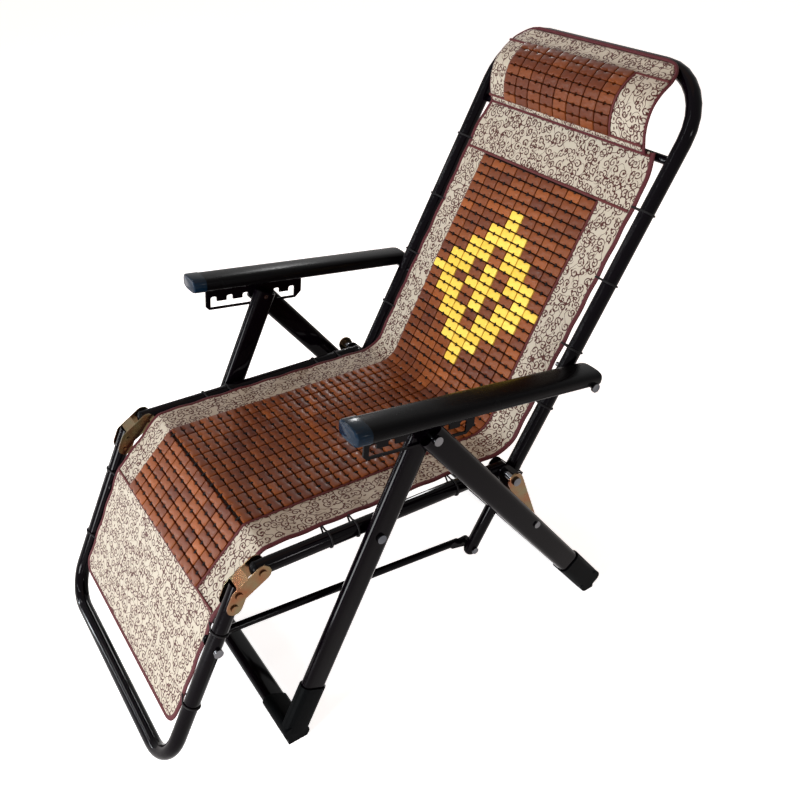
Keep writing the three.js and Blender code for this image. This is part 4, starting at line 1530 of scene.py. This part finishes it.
    def _cords(self, span: Span) -> None:
        """Makes the elastic cords under the tiles of one stretch.

        Args:
            span: The stretch.
        """
        limits = (max(span.start, self.field[0]), min(span.end, self.field[1]))
        if limits[1] - limits[0] < self.size.step:
            return
        shell = Shell()
        out = self.size.cloth / 2 + self.tile.thick * self.size.cord_rise
        for column in range(self.size.columns):
            place = self.column_place(column)
            self._line(
                shell, lambda s, a=place: self.drift(s) + a, limits, out, self.size.cord()
            )
        cords = shell.build(f"{span.name}_cords", self.finishes.all(Finish.CORD))
        span.carry(cords)


# Headrest


@dataclass(frozen=True)
class HeadrestSize:
    """Arched padded headrest. Its crown is (along the back, out from it)."""

    left: float = -0.193
    right: float = 0.190
    hem: float = 0.0055
    middle: float = 0.014
    swell_share: float = 0.82
    swell_power: float = 0.8
    round: float = 0.005
    round_shares: tuple[Pair, ...] = ((0.0, 0.45), (0.4, 0.8), (1.0, 1.0))
    voxel: float = 0.005
    swell: float = 0.0022
    tile_seed: int = 21
    # The headrest's tiles get a darker mean tone than the mat's tiles of the same bamboo: painted
    # shade.
    tile_tone_painted_shade: float = 0.05
    tile_left: float = -0.1455
    tile_columns: int = 8
    tile_from: float = 0.548
    tile_to: float = 0.645
    tile_rows: int = 7
    wrap_piping: float = 0.649
    corner: float = 0.042
    corner_share: float = 0.9
    tape_width: float = 0.0060
    probe: float = 0.03
    crown: tuple[Pair, ...] = (
        (0.5385, 0.0130),
        (0.5435, 0.0200),
        (0.5510, 0.0275),
        (0.5630, 0.0375),
        (0.5820, 0.0465),
        (0.6040, 0.0500),
        (0.6270, 0.0445),
        (0.6460, 0.0340),
        (0.6630, 0.0245),
        (0.6755, 0.0190),
        (0.6815, 0.0170),
    )


@dataclass(frozen=True)
class Filling:
    """How the padding's cover is swelled as cloth under pressure."""

    pressure: float = 4.0
    stiffness: float = 40.0
    frames: int = 20
    softness: float = 0.6


class Headrest:
    """The padded panel that arches from the head cross bar over the top bar."""

    padding_points: int = 40
    tape_points: int = 48
    piping_points: int = 24
    hem_points: int = 9
    outward_share: float = 0.3

    def __init__(self, size: HeadrestSize, filling: Filling, tile: TileSize, mat: Mat) -> None:
        """Works out the headrest's crown line.

        Args:
            size: Its sizes.
            filling: Its filling.
            tile: The bamboo tile.
            mat: The mat that it continues.
        """
        self.size, self.filling, self.tile, self.mat = size, filling, tile, mat
        self.finishes = mat.finishes
        rough = SideCurve(flowing([mat.side.on_back(a, o) for a, o in size.crown]))
        self.curve = SideCurve(rough.resampled())
        self.tiled = (self.mark(size.tile_from), self.mark(size.tile_to))
        self.tile_right = size.tile_left + size.tile_columns * tile.pitch_across

    def mark(self, along: float) -> float:
        """Finds a distance along the back on the crown line.

        Args:
            along: Distance along the back.

        Returns:
            Length along the crown line.
        """
        side = self.mat.side
        reached = [(Vector(p) - side.back_foot).dot(side.back_dir) for p in self.curve.points]
        return float(self.curve.reach[int(np.abs(np.array(reached) - along).argmin())])

    def thickness(self, s: float) -> float:
        """Thickness of the padding at length s."""
        share = math.sin(math.pi * min(s / self.curve.length / self.size.swell_share, 1.0))
        return self.size.hem + (self.size.middle - self.size.hem) * share**self.size.swell_power

    def across(self, x: float, s: float) -> float:
        """Draws a place across the chair in where the top corners are round.

        Args:
            x: The place on a square panel.
            s: Length along the crown line.

        Returns:
            The place on the panel with round corners.
        """
        z, middle = self.size, (self.size.left + self.size.right) / 2
        rise = max(s - (self.curve.length - z.corner), 0.0)
        drawn_in = z.corner - math.sqrt(max(z.corner**2 - rise**2, 0.0))
        half = (z.right - z.left) / 2
        return middle + (x - middle) * (half - drawn_in * z.corner_share) / half

    def build(self) -> None:
        """Makes the padding, its tiles and its edging."""
        body = self._padding()
        self._fill(body)
        self._map_cloth(body)
        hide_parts("headrest_pillow")
        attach(body, "back")
        self._tiles(body)
        self._edging()

    def _padding(self) -> Object:
        """Makes the plain form of the padding.

        Returns:
            The padding.
        """
        z = self.size
        lengths = spread(0.0, self.curve.length, self.padding_points)
        ends = [(z.left + z.round * inset, share) for inset, share in z.round_shares]
        ends += [(z.right - z.round * inset, share) for inset, share in reversed(z.round_shares)]
        points, count = [], 2 * len(lengths)
        for x, share in ends:
            for side, walk in ((1 - share, lengths), (1 + share, lengths[::-1])):
                for s in walk:
                    out = -self.thickness(s) / 2 * side
                    points.append(self.curve.solid(self.across(x, s), s, out))
        last = (len(ends) - 1) * count
        faces = [tuple(range(count)), tuple(last + j for j in reversed(range(count)))]
        shell = Shell()
        shell.add(points, faces + joined_rings(len(ends), count))
        return shell.build("headrest_padding", self.finishes.all(Finish.BROCADE, Finish.BACKING))

    def _fill(self, body: Object) -> None:
        """Swells the padding under its own pressure, seams held.

        Args:
            body: The padding.
        """
        remesh = body.modifiers.new("even_cloth", "REMESH")
        remesh.mode = "VOXEL"
        remesh.voxel_size = self.size.voxel
        apply_modifiers(body)
        before, filling = coordinates(body), self.filling
        held = body.vertex_groups.new(name="seams")
        held.add(self._seam_points(before), 1.0, "REPLACE")
        cloth = body.modifiers.new("filling", "CLOTH")
        cloth.settings.use_pressure = True
        cloth.settings.uniform_pressure_force = filling.pressure
        cloth.settings.effector_weights.gravity = 0.0
        cloth.settings.vertex_group_mass = held.name
        cloth.settings.tension_stiffness = filling.stiffness
        cloth.settings.compression_stiffness = filling.stiffness
        cloth.point_cache.frame_start = 1
        cloth.point_cache.frame_end = filling.frames
        for frame in range(1, filling.frames + 1):
            bpy.context.scene.frame_set(frame)
        apply_modifiers(body)
        bpy.context.scene.frame_set(1)
        moved = coordinates(body) - before
        reach = np.linalg.norm(moved, axis=1, keepdims=True)
        moved *= np.minimum(1.0, self.size.swell / np.maximum(reach, np.finfo(float).eps))
        body.data.vertices.foreach_set("co", (before + moved).astype(np.float32).ravel())
        body.data.update()
        LOG.info("filled %s, largest move %.4f m", body.name, float(reach.max()))

    def _seam_points(self, points: np.ndarray) -> list[int]:
        """Finds the points near the hems, the sides and the wrap over the bar.

        Args:
            points: One row for each point of the padding.

        Returns:
            Their numbers.
        """
        margin, last = 2 * self.size.voxel, self.mark(self.size.wrap_piping)
        left, right = self.size.left + margin, self.size.right - margin
        held = []
        for k, (x, y, z) in enumerate(points):
            s = self.curve.locate(Vector((y, z)))
            if not (margin <= s <= last and left <= x <= right):
                held.append(k)
        LOG.info("headrest seams hold %d of %d points", len(held), len(points))
        return held

    def _map_cloth(self, body: Object) -> None:
        """Gives the padding its cloth coordinates and the dark backing under its tiles.

        Args:
            body: The padding.
        """
        mesh, points = body.data, coordinates(body)
        lengths = np.array([self.curve.locate(Vector((p[1], p[2]))) for p in points])
        set_weave(mesh, np.stack([points[:, 0], lengths], axis=1).astype(np.float32))
        low, high = self.tiled
        for face in mesh.polygons:
            middle = face.center
            s = self.curve.locate(Vector((middle.y, middle.z)))
            outward = face.normal.dot(self.curve.facing(s)) > self.outward_share
            under = low < s < high and self.size.tile_left < middle.x < self.tile_right
            face.material_index = int(under and outward)
        mesh.shade_smooth()

    def _tiles(self, body: Object) -> None:
        """Makes the tiles on the padding's face.

        Args:
            body: The padding.
        """
        z, shell = self.size, Shell()
        # The headrest's darker tile tone is painted shade.
        tiler = Tiler(replace(self.tile, shade=z.tile_tone_painted_shade), z.tile_seed)
        bpy.context.view_layer.update()
        corners = [v.co for v in body.data.vertices]
        face = BVHTree.FromPolygons(corners, [p.vertices for p in body.data.polygons])
        low, high = self.tiled
        pitch = (high - low) / z.tile_rows
        for row in range(z.tile_rows):
            s = low + (row + 0.5) * pitch
            for column in range(z.tile_columns):
                x = z.tile_left + (column + 0.5) * self.tile.pitch_across
                away = face.ray_cast(self.curve.solid(x, s, z.probe), -self.curve.facing(s))[3]
                out = z.probe - away if away is not None else 0.0
                tiler.lay(shell, self.curve, x, s, out)
        tiles = shell.build("headrest_tiles", self.finishes.all(Finish.BAMBOO))
        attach(tiles, "back")

    def _edging(self) -> None:
        """Makes the binding at the headrest's sides and hems, and the piping round its tiles."""
        z, size, shell = self.size, self.mat.size, Shell()
        tape, piping = size.tape(z.tape_width), size.piping()
        lengths = spread(0.0, self.curve.length, self.tape_points)
        for x in (z.left, z.right):
            centres = [self._in_padding(self.across(x, s), s) for s in lengths]
            shell.sweep(centres, [self.curve.facing(s) for s in lengths], tape)
        places = spread(z.left, z.right, self.hem_points)
        for s in (0.0, self.curve.length):
            facings = [self.curve.facing(s)] * len(places)
            shell.sweep([self._in_padding(self.across(x, s), s) for x in places], facings, tape)
        inner = spread(*self.tiled, self.piping_points)
        for x in (z.tile_left, self.tile_right):
            centres = [self.curve.solid(x, s, z.swell / 2) for s in inner]
            shell.sweep(centres, [self.curve.facing(s) for s in inner], piping, finish=1)
        for s in self.tiled:
            centres = [self.curve.solid(x, s, z.swell / 4) for x in places]
            shell.sweep(centres, [self.curve.facing(s)] * len(places), piping, finish=1)
        finishes = self.finishes.all(Finish.BINDING, Finish.PIPING)
        edging = shell.build("headrest_edging", finishes)
        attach(edging, "back")

    def _in_padding(self, x: float, s: float) -> Vector:
        """Point in space in the middle of the padding's thickness."""
        return self.curve.solid(x, s, -self.thickness(s) / 2)


# Lacing


@dataclass(frozen=True)
class LacingSize:
    """Elastic loops that tie the mat to the tubes. Places are distances along each part."""

    cord: float = 0.0024
    cord_sides: int = 8
    flatness: float = 1.4
    tube: float = 0.0125
    wrap: float = 250.0
    wrap_steps: int = 12
    rim_inset: float = 0.002
    end_gap: float = 0.0015
    rail_half: float = 0.236
    head_half: float = 0.2415
    back_length: float = 0.6767
    back_near: tuple[float, ...] = (0.124, 0.226, 0.343, 0.462)
    back_far: tuple[float, ...] = (0.117, 0.229, 0.345, 0.466)
    seat: tuple[float, ...] = (0.113, 0.159, 0.341, 0.390)
    rest: tuple[float, ...] = (0.072, 0.204)


@dataclass(frozen=True)
class LacedPart:
    """One part of the chair that carries loops, and where it puts them."""

    name: str
    far: tuple[float, ...]
    near: tuple[float, ...]
    place: Callable[[float, float], Vector]
    direction: Vector
    level: float
    leaning: bool = False


class Lacing:
    """The elastic loops along the frame."""

    def __init__(self, size: LacingSize, mat: Mat) -> None:
        """Takes the mat that the loops hold.

        Args:
            size: Sizes and places.
            mat: The mat.
        """
        self.size, self.mat = size, mat

    def build(self) -> None:
        """Makes the loops of the back, the seat and the leg rest."""
        side, z, m = self.mat.side, self.size, self.mat.size
        parts = (
            LacedPart(
                "back", z.back_far, z.back_near, side.on_back, side.back_dir, m.back_out, True
            ),
            LacedPart("seat", z.seat, z.seat, side.on_seat, side.rail_dir, m.seat_out),
            LacedPart("leg_rest", z.rest, z.rest, side.on_rest, -side.rest_dir, m.rest_out),
        )
        for part in parts:
            shell = Shell()
            for hand, places in ((-1, part.far), (1, part.near)):
                for s in places:
                    self._loop(shell, part, hand, s)
            loops = shell.build(f"{part.name}_lacing", self.mat.finishes.all(Finish.CORD))
            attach(loops, part.name)

    def _route(self, part: LacedPart, s: float) -> list[Pair]:
        """Leads a loop from the mat's rim round the tube and back.

        Args:
            part: The part that carries it.
            s: Its distance along the part.

        Returns:
            (across, out) points.
        """
        z = self.size
        lean = (z.head_half - z.rail_half) * (s / z.back_length if part.leaning else 0.0)
        centre, radius = z.rail_half + lean, z.tube + z.cord / 2
        rim = self.mat.size.half_width - z.rim_inset
        route = [(rim, part.level + z.end_gap)]
        for k in range(z.wrap_steps + 1):
            turn = math.radians(z.wrap / 2 - z.wrap * k / z.wrap_steps)
            route.append((centre + radius * math.cos(turn), radius * math.sin(turn)))
        route.append((rim, part.level - z.end_gap))
        return route

    def _loop(self, shell: Shell, part: LacedPart, hand: int, s: float) -> None:
        """Adds one loop.

        Args:
            shell: Mesh that takes it.
            part: The part that carries it.
            hand: 1 on the +X side of the chair, -1 on the other.
            s: Its distance along the part.
        """
        centres = []
        for x, out in self._route(part, s):
            p = part.place(s, out)
            centres.append(Vector((hand * x, p.x, p.y)))
        facing = Vector((0.0, part.direction.x, part.direction.y))
        z = self.size
        section = oval(z.cord, z.cord * z.flatness, z.cord_sides)
        shell.sweep(centres, [facing] * len(centres), section)


# Studio


@dataclass(frozen=True)
class Viewpoint:
    """The photograph's camera. Its place is in the side drawing's frame."""

    place: Triple = (1.16166, -0.84351, 1.25650)
    azimuth: float = 58.457
    elevation: float = 35.734
    roll: float = -3.426
    lens: float = 40.718
    film: float = 36.0
    shift: Pair = (-0.0215, 0.0349)

    def build(self, side: Side) -> None:
        """Makes the camera.

        Args:
            side: Places in the side plane.
        """
        data = bpy.data.cameras.new("photo_camera")
        data.lens = self.lens
        data.sensor_width = self.film
        data.shift_x, data.shift_y = self.shift
        camera = bpy.data.objects.new("photo_camera", data)
        a, e, r = (math.radians(v) for v in (self.azimuth, self.elevation, self.roll))
        back = Vector((math.sin(a) * math.cos(e), -math.cos(a) * math.cos(e), math.sin(e)))
        right = Vector((math.cos(a), math.sin(a), 0.0))
        up = back.cross(right)
        rolled_right = right * math.cos(r) + up * math.sin(r)
        rolled_up = up * math.cos(r) - right * math.sin(r)
        camera.matrix_world = Matrix((rolled_right, rolled_up, back)).transposed().to_4x4()
        x, y, z = self.place
        camera.location = (x, y + side.shift.x, z + side.shift.y)
        bpy.context.scene.collection.objects.link(camera)
        bpy.context.scene.camera = camera
        LOG.info("camera placed")


@dataclass(frozen=True)
class Lamp:
    """One soft area lamp that faces the chair."""

    name: str
    place: Triple
    size: float
    power: float
    tint: Triple = (1.0, 1.0, 1.0)
    aim: Triple = (0.0, 0.0, 0.45)
    height: float | None = None

    def build(self) -> None:
        """Makes the lamp, a disk, or an upright strip where it has a height."""
        data = bpy.data.lights.new(self.name, "AREA")
        data.shape = "DISK" if self.height is None else "RECTANGLE"
        data.size = self.size
        if self.height is not None:
            data.size_y = self.height
        data.energy = self.power
        data.color = self.tint
        lamp = bpy.data.objects.new(self.name, data)
        lamp.location = self.place
        ahead = Vector(self.aim) - Vector(self.place)
        lamp.rotation_euler = ahead.to_track_quat("-Z", "Y").to_euler()
        bpy.context.scene.collection.objects.link(lamp)
        LOG.info("lamp %s", self.name)


@dataclass(frozen=True)
class Studio:
    """Pale floor, soft sky and lamps."""

    fill: float = 0.20
    front_fill: float = 0.16
    front: Triple = (0.1, -1.0, 0.0)
    room_tint: Colour = (1.0, 0.42, 0.16, 1.0)
    window_tint: Colour = (0.95, 0.97, 1.0, 1.0)
    white: Colour = (1.0, 1.0, 1.0, 1.0)
    floor_half: float = 12.0
    floor_tint: Colour = (0.93, 0.93, 0.93, 1.0)
    floor_roughness: float = 0.9
    floor_shine: float = 0.1
    floor_glow: float = 0.85
    lamps: tuple[Lamp, ...] = (
        Lamp("front_key", (0.9, -3.7, 0.85), 1.3, 185.0, tint=(0.96, 0.98, 1.0)),
        Lamp("window_strip", (-2.3, -2.6, 0.9), 0.05, 34.0, tint=(0.90, 0.95, 1.0), height=2.6),
        Lamp("high_strip", (-0.62, -2.24, 2.46), 0.04, 34.0, tint=(0.92, 0.96, 1.0), height=2.6),
        Lamp("side_strip", (3.0, -2.0, 0.5), 0.06, 8.0, height=2.0),
        Lamp("top_soft", (-0.4, 0.4, 3.6), 2.0, 7.0, tint=(1.0, 0.44, 0.18)),
        Lamp("right_rim", (3.2, 0.9, 1.9), 0.26, 13.0),
        Lamp("back_glare", (-1.96, -1.51, 1.95), 0.24, 5.0),
        Lamp("far_glint", (-2.8, 1.7, 1.9), 0.22, 9.0),
    )

    def build(self) -> None:
        """Makes the floor, the world and the lamps."""
        self._world()
        self._floor()
        for lamp in self.lamps:
            lamp.build()
        bpy.context.scene.view_settings.view_transform = "Standard"

    def _world(self) -> None:
        """Makes a soft sky, cool before the chair and warm behind, that the camera sees as white."""
        world = bpy.data.worlds.new("studio")
        world.use_nodes = True
        g = Graph(world.node_tree)
        g.tree.nodes.clear()
        sky = g.add("TexCoord").outputs["Generated"]
        facing = g.math("MAXIMUM", g.vector("DOT_PRODUCT", sky, self.front), 0.0)
        strength = g.scaled(facing, self.front_fill, self.fill)
        tint = g.mix(facing, self.room_tint, self.window_tint)
        soft = g.feed(g.add("Background"), {"Color": tint, "Strength": strength})
        white = g.feed(g.add("Background"), {"Color": self.white})
        shown = {0: g.background_ray(), 1: soft.outputs[0], 2: white.outputs[0]}
        mix = g.feed(g.add("MixShader"), shown)
        g.feed(g.add("OutputWorld"), {0: mix.outputs[0]})
        bpy.context.scene.world = world
        LOG.info("world built")

    def _floor(self) -> None:
        """Makes the pale floor, which glows to white for the camera and keeps its shadow."""
        g = Surface("studio_floor")
        g.set(Base_Color=self.floor_tint, Roughness=self.floor_roughness)
        glow = g.math("MULTIPLY", g.background_ray(), self.floor_glow)
        g.set(Specular_IOR_Level=self.floor_shine, Emission_Color=self.white, Emission_Strength=glow)
        half, shell = self.floor_half, Shell()
        corners = ((-half, -half), (half, -half), (half, half), (-half, half))
        shell.add([Vector((x, y, 0.0)) for x, y in corners], [(0, 1, 2, 3)])
        shell.build("studio_floor", [g.material], smooth=False)


def clear_start() -> None:
    """Removes whatever the new file held."""
    for obj in list(bpy.data.objects):
        bpy.data.objects.remove(obj)


def main() -> None:
    """Builds the dressed recliner and its studio."""
    logging.basicConfig(level=logging.INFO, format="%(name)s: %(message)s")
    clear_start()
    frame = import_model()
    finishes = Finishes()
    Hardware(FacetSize(), frame["nodes"], finishes).dress()
    side = Side(SideDrawing(), "front_hinge_rivet_right")
    tile = TileSize()
    mat = Mat(MatSize(), tile, side, finishes)
    mat.build()
    Headrest(HeadrestSize(), Filling(), tile, mat).build()
    Lacing(LacingSize(), mat).build()
    Studio().build()
    Viewpoint().build(side)


if __name__ == "__main__":
    main()
